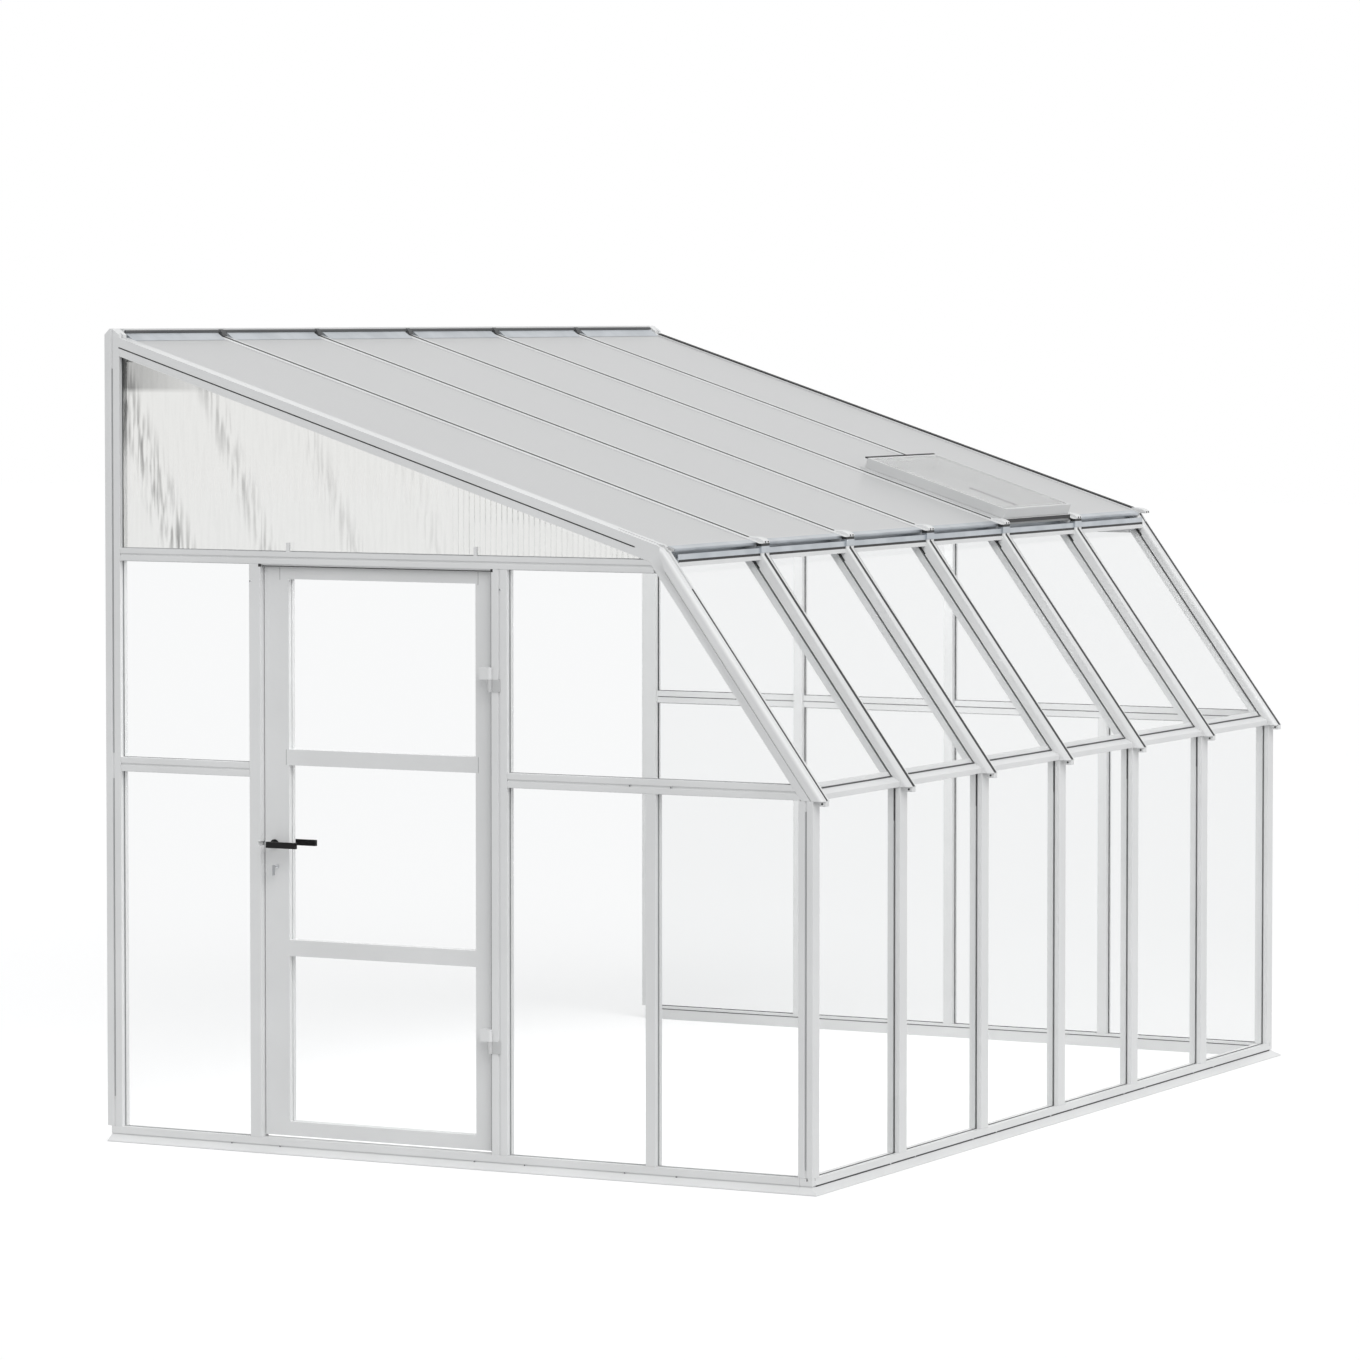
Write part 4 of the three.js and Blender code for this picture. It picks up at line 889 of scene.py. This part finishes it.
def rising(value, start, pace, most=1.0):
    """Rises from 0 where the value passes the start, and stays at the most."""
    straight = step_of("MULTIPLY_ADD", value, pace, -pace * start)
    return step_of("MINIMUM", step_of("MAXIMUM", straight, 0.0), most)


# The painted refraction streaks stand in four leaning rows. Across is the distance from the wall.
place = tree.nodes.new("ShaderNodeTexCoord")
parts = tree.nodes.new("ShaderNodeSeparateXYZ")
joined(tree, (place, "Object", parts, "Vector"))
across, height = step_of("SUBTRACT", wall_y, parts.outputs["Y"]), parts.outputs["Z"]
streak_lean, streak_top, rows_start, rows_span = 0.43, 2.65, -0.10, 1.20
row = step_of("ADD", across, step_of("MULTIPLY_ADD", height, streak_lean, -streak_lean * streak_top))
row = step_of("DIVIDE", step_of("SUBTRACT", row, rows_start), rows_span)
rows = tree.nodes.new("ShaderNodeValToRGB")
ramp = rows.color_ramp
ramp.elements[0].position, ramp.elements[1].position = 0.0, 1.0
ramp.elements[0].color = ramp.elements[1].color = (0, 0, 0, 1)
for middle, half, strength in (
    (-0.005, 0.085, 1.0),
    (0.335, 0.060, 0.55),
    (0.665, 0.060, 0.30),
    (0.985, 0.060, 0.16),
):
    for at, level in ((middle - half, 0.0), (middle, strength), (middle + half, 0.0)):
        stop = ramp.elements.new((at - rows_start) / rows_span)
        stop.color = (level, level, level, 1)
tree.links.new(row, rows.inputs["Fac"])
stretch = filled(tree, "ShaderNodeMapping", {"Scale": (1.0, 78.0, 7.0)})
strokes = filled(tree, "ShaderNodeTexNoise", {"Scale": 1.0, "Detail": 1.5})
joined(tree, (place, "Object", stretch, "Vector"), (stretch, "Vector", strokes, "Vector"))
stroke_start, stroke_pace, row_share, faint_share = 0.45, 6.0, 0.92, 0.035
stroke = rising(strokes.outputs["Fac"], stroke_start, stroke_pace)
painted_refraction_streaks = step_of("MULTIPLY", step_of("MULTIPLY", rows.outputs["Color"], stroke), row_share)
shade = step_of("ADD", painted_refraction_streaks, step_of("MULTIPLY", stroke, faint_share))

# Painted shade: a darker patch in the upper corner by the wall, and a dark edge down the wall post.
corner_shade_foot, corner_shade_foot_pace, corner_shade_end, corner_shade_end_pace, corner_shade_share = 2.500, 60.0, 0.47, -2.9, 0.62
above, beside = rising(height, corner_shade_foot, corner_shade_foot_pace), rising(across, corner_shade_end, corner_shade_end_pace)
painted_corner_shade = step_of("MULTIPLY", step_of("MULTIPLY", above, beside), corner_shade_share)
post_shade_end, post_shade_pace, fade_foot, fade_pace, fade_most = 0.088, -26.0, 2.24, 4.5, 0.6
edge, fade = rising(across, post_shade_end, post_shade_pace), rising(height, fade_foot, fade_pace, fade_most)
shade = step_of("ADD", step_of("ADD", shade, painted_corner_shade), step_of("MULTIPLY", edge, fade))
shade = step_of("MINIMUM", shade, 1.0)
# The mask darkens the sheet's own pale tint towards a painted shade colour.
tint_and_painted_shade = two_tones(tree, (0.80, 0.80, 0.785), 0.0, (0.24, 0.24, 0.235), 1.0)
tree.links.new(shade, tint_and_painted_shade.inputs["Fac"])
joined(tree, (tint_and_painted_shade, "Color", shader, "Base Color"))

flute_pitch, flute_depth, flute_steps, sheet_half = 0.020, 0.0022, 10, 0.004
panel_left, panel_low, panel_rise, panel_foot, panel_tip_gap = 0.0483, 1.9743, -0.0173, 1.984, 0.027
rafter_foot = at_height(roof, panel_foot, bar_inner).x
panel_tip = rafter_foot - panel_tip_gap


def roof_height(distance, rise):
    """The height of the roof line, or of a rise off it, at a distance from the wall."""
    start = on(roof, 0, rise)
    return start.y + (distance - start.x) * roof[1].y / roof[1].x


for side, name in ((-1, "near"), (1, "far")):
    bm = bmesh.new()
    count = int((panel_tip - panel_left) / flute_pitch * flute_steps)
    columns = []
    for i in range(count + 1):
        d = panel_left + (panel_tip - panel_left) * i / count
        dip = flute_depth * (0.5 - 0.5 * math.cos(2 * math.pi * i / flute_steps))
        columns.append(
            [
                bm.verts.new((side * (half_length - glass_inset + depth), wall_y - d, z))
                for depth in (sheet_half - dip, -sheet_half)
                for z in (panel_low, roof_height(d, panel_rise))
            ]
        )
    for a, b in zip(columns, columns[1:]):
        bm.faces.new((a[0], b[0], b[1], a[1]))
        bm.faces.new((a[2], a[3], b[3], b[2]))
        bm.faces.new((a[0], a[2], b[2], b[0]))
        bm.faces.new((a[1], b[1], b[3], a[3]))
    for end in (columns[0], columns[-1]):
        bm.faces.new((end[0], end[1], end[3], end[2]))
    bmesh.ops.recalc_face_normals(bm, faces=bm.faces)
    finished(bm, f"fluted_sheet_{name}", fluted, "frame", [f"gable_panel_{name}"])
    bm = bmesh.new()
    start = on(roof, 0, bar_inner) + roof[1] * (wall_edge / roof[1].x)
    outline = [(wall_edge, panel_foot), (rafter_foot, panel_foot), (wall_edge, start.y)]
    add_rubber(bm, outline, rubber_width, gable_place(side), sheet_half)
    finished(bm, f"fluted_sheet_seal_{name}", grey_rubber, "frame")


# Eave gutter.
# A mill-finish aluminium trough in one extrusion with the white-coated rail under it, screwed to
# the bars. White caps close the bars' bends. Black pieces in the gaps over the bars, in the cap and
# plug holes and in the pane corners are painted shade.
gutter_easing = 0.0008
dressed("eave_gutter", mill_metal, "frame", gutter_easing)
gutter_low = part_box("eave_gutter")[0]
gutter_face = wall_y - gutter_low.y
rail_foot, rail_top, joint_top, rail_gap = gutter_low.z + 0.0004, 1.9745, 1.9825, 0.0006
rail_proud, joint_proud, rail_back = 0.0006, 0.0002, gutter_face - 0.0012
rail_section = rect(rail_back, gutter_face + rail_proud, rail_foot, rail_top)
joint_section = rect(rail_back, gutter_face + joint_proud, rail_top, joint_top)
rail_faces, rail_joints = bmesh.new(), bmesh.new()
for i in range(bay_count):
    low, high = bar_centre(i) + bar_half + rail_gap, bar_centre(i + 1) - bar_half - rail_gap
    prism_x(rail_faces, rail_section, low, high)
    prism_x(rail_joints, joint_section, low, high)
finished(rail_faces, "eave_rail_face", white_coat, "frame")
finished(rail_joints, "eave_rail_joint", black_rubber, "frame")

# The trough's front passes before each bar; a black block fills the gap over it as painted shade.
bridge_half, bridge_low, bridge_high, bridge_back, bridge_front = 0.0296, 1.9838, 2.0055, 2.1080, 2.1290
gap_low, gap_high, gap_back, gap_front = bridge_high + 0.0001, 2.0142, 2.1100, 2.1283
bridge_section = rect(bridge_back, bridge_front, bridge_low, bridge_high)
gap_shade_section = rect(gap_back, gap_front, gap_low, gap_high)
bridges, gap_shade = bmesh.new(), bmesh.new()
for i in range(1, bay_count):
    low, high = bar_centre(i) - bridge_half, bar_centre(i) + bridge_half
    prism_x(bridges, bridge_section, low, high)
    prism_x(gap_shade, gap_shade_section, low, high)
finished(bridges, "gutter_bridges", mill_metal, "frame")
finished(gap_shade, "gutter_bridge_gap_shade", black_rubber, "frame")


def circle(u, v, radius, count):
    """Points round a middle."""
    turns = [2 * math.pi * k / count for k in range(count)]
    return [(u + radius * math.cos(turn), v + radius * math.sin(turn)) for turn in turns]


# A white cap with two screw holes closes each bar's bend over the trough. Black discs in the holes
# are painted shade.
cap_low, cap_top, cap_left, cap_right, far_cap_gap = 2.0144, 2.0335, -0.012, 0.032, 0.003
cap_end = roof_run - 0.004
cap_section = [
    (bridge_front - 0.0005, cap_low),
    (bridge_front - 0.0015, cap_low + 0.008),
    (bridge_front - 0.012, cap_top - 0.0045),
    (bridge_front - 0.026, cap_top),
    on(roof, cap_end, roof_outer + 0.003),
    on(roof, cap_end, sheet_high + 0.002),
    (bridge_front - 0.030, cap_low),
]
hole_radius, hole_sides, hole_height = 0.0030, 12, cap_low + 0.0045
hole_back, hole_front = wall_y - bridge_front + 0.0023, wall_y - bridge_front - 0.0004
hole_shares, cap_easing = (0.28, 0.72), 0.003
caps, hole_shade = bmesh.new(), bmesh.new()
for i in range(1, bay_count + 1):
    low = bar_centre(i) + cap_left
    high = bar_centre(i) + cap_right - (far_cap_gap if i == bay_count else 0.0)
    prism_x(caps, cap_section, low, high)
    for share in hole_shares:
        ring = circle(low + (high - low) * share, hole_height, hole_radius, hole_sides)
        add_solid(hole_shade, *([(x, y, z) for x, z in ring] for y in (hole_back, hole_front)))
eased(caps, cap_easing, 3)
finished(caps, "bar_end_caps", white_coat, "frame")
finished(hole_shade, "bar_end_cap_hole_shade", black_rubber, "frame")

# A small white plug with drain holes closes the foot of each bar; black discs in the drain holes are
# painted shade.
plug_half, plug_aside, plug_low, plug_high = 0.0125, 0.002, 1.2215, 1.2384
plug_front, plug_depth, plug_easing = wall_y + 1.3322, 0.026, 0.0025
drain_radius, drain_sides, drain_in, drain_out = 0.0036, 10, 0.001, 0.0003
plug_section = rect(plug_front - plug_depth, plug_front, plug_low, plug_high)
drain_section = circle(plug_front - plug_depth / 2, (plug_low + plug_high) / 2, drain_radius, drain_sides)
plugs, drain_shade = bmesh.new(), bmesh.new()
for i in range(bay_count + 1):
    centre = bar_centre(i) + plug_aside
    prism_x(plugs, plug_section, centre - plug_half, centre + plug_half)
    for way in (-1, 1):
        face = centre + way * plug_half
        prism_x(drain_shade, drain_section, face - way * drain_in, face + way * drain_out)
eased(plugs, plug_easing, 3)
finished(plugs, "bar_foot_plugs", white_coat, "frame")
finished(drain_shade, "bar_foot_drain_shade", black_rubber, "frame")

# A black piece with a round inner side, painted shade, fills the upper corner of each clear slope pane.
corner_size, corner_steps, corner_rises, corner_gap = 0.036, 6, (0.0036, 0.0072), 0.0004
pane_top = slope_high - 0.0005
bm = bmesh.new()
for i in range(1, bay_count + 1):
    edge = bar_centre(i) - bar_half - corner_gap
    outline = [(edge, pane_top)]
    for k in range(corner_steps + 1):
        turn = math.pi / 2 * k / corner_steps
        aside, under = corner_size * (1 - math.cos(turn)), corner_size * (1 - math.sin(turn))
        outline.append((edge - aside, pane_top - under))
    add_solid(bm, *([slope_place(p, rise) for p in outline] for rise in corner_rises))
finished(bm, "pane_corner_shade", black_rubber, "frame")


# Ridge seal.
# A dark rubber strip pressed along the face of the ridge rail, with a block over each rafter, and
# a mill aluminium flashing under it that laps the upper ends of the roof sheets.
seal_start, seal_reach, block_half = 0.0405, bay_count * bay_pitch / 2 - bar_half - 0.001, 0.0135
seal_section = [(seal_start, 2.7078), (seal_start, 2.6975), (0.0465, 2.6975), (0.0458, 2.7050)]
block_section = [(seal_start, 2.7092), (seal_start, 2.6905), (0.0580, 2.6855), (0.0540, 2.6970)]
block_section += [(0.0470, 2.7065)]
seal_easing, flashing_easing = 0.0012, 0.0003
bm = bmesh.new()
prism_x(bm, seal_section, -seal_reach, seal_reach)
for i in range(1, bay_count):
    prism_x(bm, block_section, bar_centre(i) - block_half, bar_centre(i) + block_half)
eased(bm, seal_easing, 2)
finished(bm, "ridge_seal", grey_strip, "frame")

flashing_end, flashing_gap = 0.074, 0.0008
flashing_low, flashing_high = sheet_high + 0.0004, sheet_high + 0.0012
flashing_section = [
    (seal_start, 2.6970),
    on(roof, seal_start, roof_outer + 0.0004),
    on(roof, seal_start, flashing_low),
    on(roof, flashing_end, flashing_low),
    on(roof, flashing_end, flashing_high),
    (0.0462, 2.6970),
]
bm = bmesh.new()
for i in range(bay_count):
    low, high = bar_centre(i) + bar_half + flashing_gap, bar_centre(i + 1) - bar_half - flashing_gap
    prism_x(bm, flashing_section, low, high)
eased(bm, flashing_easing, 1)
finished(bm, "ridge_flashing", mill_metal, "frame")


# Door.
# A leaf of mitred white bars with three lights, on two lift-off hinges. Black levers turn on one
# spindle through the stile, over a lock with a round plug and its key.
hinge_easing, lever_easing, case_easing, bolt_easing, key_easing = 0.0006, 0.001, 0.0006, 0.0012, 0.0004
dressed("door_frame", white_coat, "door")
hinge_coat = grained("dull hinge coat", (0.54, 0.545, 0.545), (0.58, 0.585, 0.585), (0.5, 0.6))
for node in ("hinge_upper", "hinge_lower"):
    dressed(node, hinge_coat, "frame", hinge_easing)
black_lever = grained(
    "black lever coat", (0.004, 0.004, 0.0045), (0.007, 0.007, 0.0075), (0.42, 0.52), fine=1600.0
)
black_lever.node_tree.nodes["Principled BSDF"].inputs["Specular IOR Level"].default_value = 0.2
dressed("lever_handles", black_lever, "lever", lever_easing)
dressed("lock_case", bright_steel, "door", case_easing)
dressed("latch_bolt", bright_steel, "latch", bolt_easing)
dressed("dead_bolt", bright_steel, "bolt", bolt_easing)
dressed("key_cylinder", bright_steel, "key", key_easing)


def add_box(bm, x0, x1, y0, y1, z0, z1):
    """A block between its sides, added to a bmesh."""
    add_solid(bm, *([(x, y, z) for y, z in rect(y0, y1, z0, z1)] for x in (x0, x1)))


# A stop lies behind the head gap, and black strips in the gaps are painted shade for them.
hinge_side, lock_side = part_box("door_jamb_hinge")[1].y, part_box("door_jamb_lock")[0].y


def add_door_strip(bm, outer, inner, start, end, foot, top):
    """A strip by the door, set in from the gable's outer face."""
    add_box(bm, outer - gable_face, inner - gable_face, start, end, foot, top)


stop_outer, stop_inner, stop_gap, stop_low, stop_top = 0.007, 0.040, 0.0004, head - 0.0048, head - 0.0002
start, end = hinge_side + stop_gap, lock_side - stop_gap
stop_easing, gap_shade_easing = 0.0005, 0.0006
bm = bmesh.new()
add_door_strip(bm, stop_outer, stop_inner, start, end, stop_low, stop_top)
eased(bm, stop_easing, 1)
finished(bm, "door_head_stop", white_coat, "frame")

head_outer, head_inner, head_gap, head_low, head_top = 0.010, 0.038, 0.0006, head - 0.0078, head - 0.0049
side_outer, side_inner, side_start, side_end = 0.003, 0.014, hinge_side + 0.0003, hinge_side + 0.0026
between_hinges = ((0.0585, 0.377), (0.457, 1.547), (1.627, 1.9335))
corner_outer, corner_inner, corner_low, corner_top = -0.0004, 0.004, head - 0.0092, head + 0.0006
corner_width, corner_starts = 0.0085, (lock_side - 0.0022, hinge_side - 0.0065)
bm = bmesh.new()
add_door_strip(bm, head_outer, head_inner, hinge_side + head_gap, lock_side - head_gap, head_low, head_top)
for foot, top in between_hinges:
    add_door_strip(bm, side_outer, side_inner, side_start, side_end, foot, top)
for start in corner_starts:
    add_door_strip(bm, corner_outer, corner_inner, start, start + corner_width, corner_low, corner_top)
eased(bm, gap_shade_easing, 2)
finished(bm, "door_gap_shade", black_rubber, "frame")

# Fine dark lines mark where the bars of the leaf meet.
leaf_face, stile_lock, stile_hinge = -1.907, 0.6442, -0.0797
joint_width, joint_sunk, joint_out = 0.0009, 0.0006, 0.00025
head_joint, rail_joint = (1.8895, 1.9322), (1.2815, 1.3325)
bm = bmesh.new()
for y, (foot, top) in (
    (stile_lock + 0.0228, head_joint),
    (stile_hinge - 0.0006, head_joint),
    (stile_hinge - 0.0006, rail_joint),
    (stile_lock + 0.0002, rail_joint),
):
    add_box(bm, leaf_face - joint_out, leaf_face + joint_sunk, y, y + joint_width, foot, top)
finished(bm, "door_leaf_joints", black_rubber, "door")


# Roof vent.
# A light sash of pale grey bars with its own sheet, hinged along its upper edge over a curb between
# two rafters, with a black stay and a pull under the lower bar. Black strips along its edges are
# painted shade for the gaps there.
pale_coat = grained("pale grey coat", (0.62, 0.625, 0.625), (0.66, 0.665, 0.665), (0.34, 0.44), coat=0.15)
sash_easing, stay_easing, pull_easing = 0.002, 0.0006, 0.001
dressed("vent_curb", pale_coat, "frame")
dressed("vent_sash", pale_coat, "vent", sash_easing)
dressed("vent_stay", black_lever, "stay", stay_easing)
dressed("vent_handle", black_lever, "vent", pull_easing)

vent_sheet, brighter = sheet_opal.copy(), 1.20
vent_sheet.name = "opal vent sheet"
shader = vent_sheet.node_tree.nodes["Principled BSDF"]
for name, value in (("Transmission Weight", 0.82), ("Roughness", 0.04), ("IOR", 1.1)):
    shader.inputs[name].default_value = value
for node in vent_sheet.node_tree.nodes:
    if node.type == "VALTORGB":
        for stop in node.color_ramp.elements:
            stop.color = [min(1.0, brighter * part) for part in stop.color[:3]] + [1.0]
given("vent_panel", vent_sheet)

# Black strips in the sash's hinge edge, along its sides, and on the curb's foot are painted shade
# for the gaps there.
sash_low, sash_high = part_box("vent_sash")
sash_rise = rise_over(roof, sash_high.y, sash_high.z)
hinge_run = (Vector((wall_y - sash_high.y, sash_high.z)) - roof[0]).dot(roof[1])
hinge_start, side_start = hinge_run + 0.0005, hinge_run + 0.0085
side_end = hinge_run + (sash_high.y - sash_low.y) / roof[1].x - 0.0125
strip_foot, strip_top, hinge_top = sash_rise - 0.0004, sash_rise + 0.0012, sash_rise + 0.0045
far_strip = (sash_high.x - 0.0065, sash_high.x - 0.0020)
near_strip = (sash_low.x + 0.0020, sash_low.x + 0.0045)
strip_easing = 0.0004
bm = bmesh.new()
prism_x(bm, band(roof, hinge_start, side_start, strip_foot, hinge_top), sash_low.x, sash_high.x)
for x0, x1 in (far_strip, near_strip):
    prism_x(bm, band(roof, side_start, side_end, strip_foot, strip_top), x0, x1)
eased(bm, strip_easing, 1)
finished(bm, "vent_edge_gap_shade", black_rubber, "vent")
curb_low, curb_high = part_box("vent_curb")
curb_front, foot_shade_sunk, foot_shade_proud = wall_y - curb_low.y, 0.002, 0.0012
foot_shade_low, foot_shade_high, foot_shade_end_gap = 2.0175, 2.0305, 0.0005
bm = bmesh.new()
outline = rect(curb_front - foot_shade_sunk, curb_front + foot_shade_proud, foot_shade_low, foot_shade_high)
prism_x(bm, outline, curb_low.x + foot_shade_end_gap, curb_high.x - foot_shade_end_gap)
finished(bm, "vent_foot_gap_shade", black_rubber, "frame")

low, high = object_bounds()
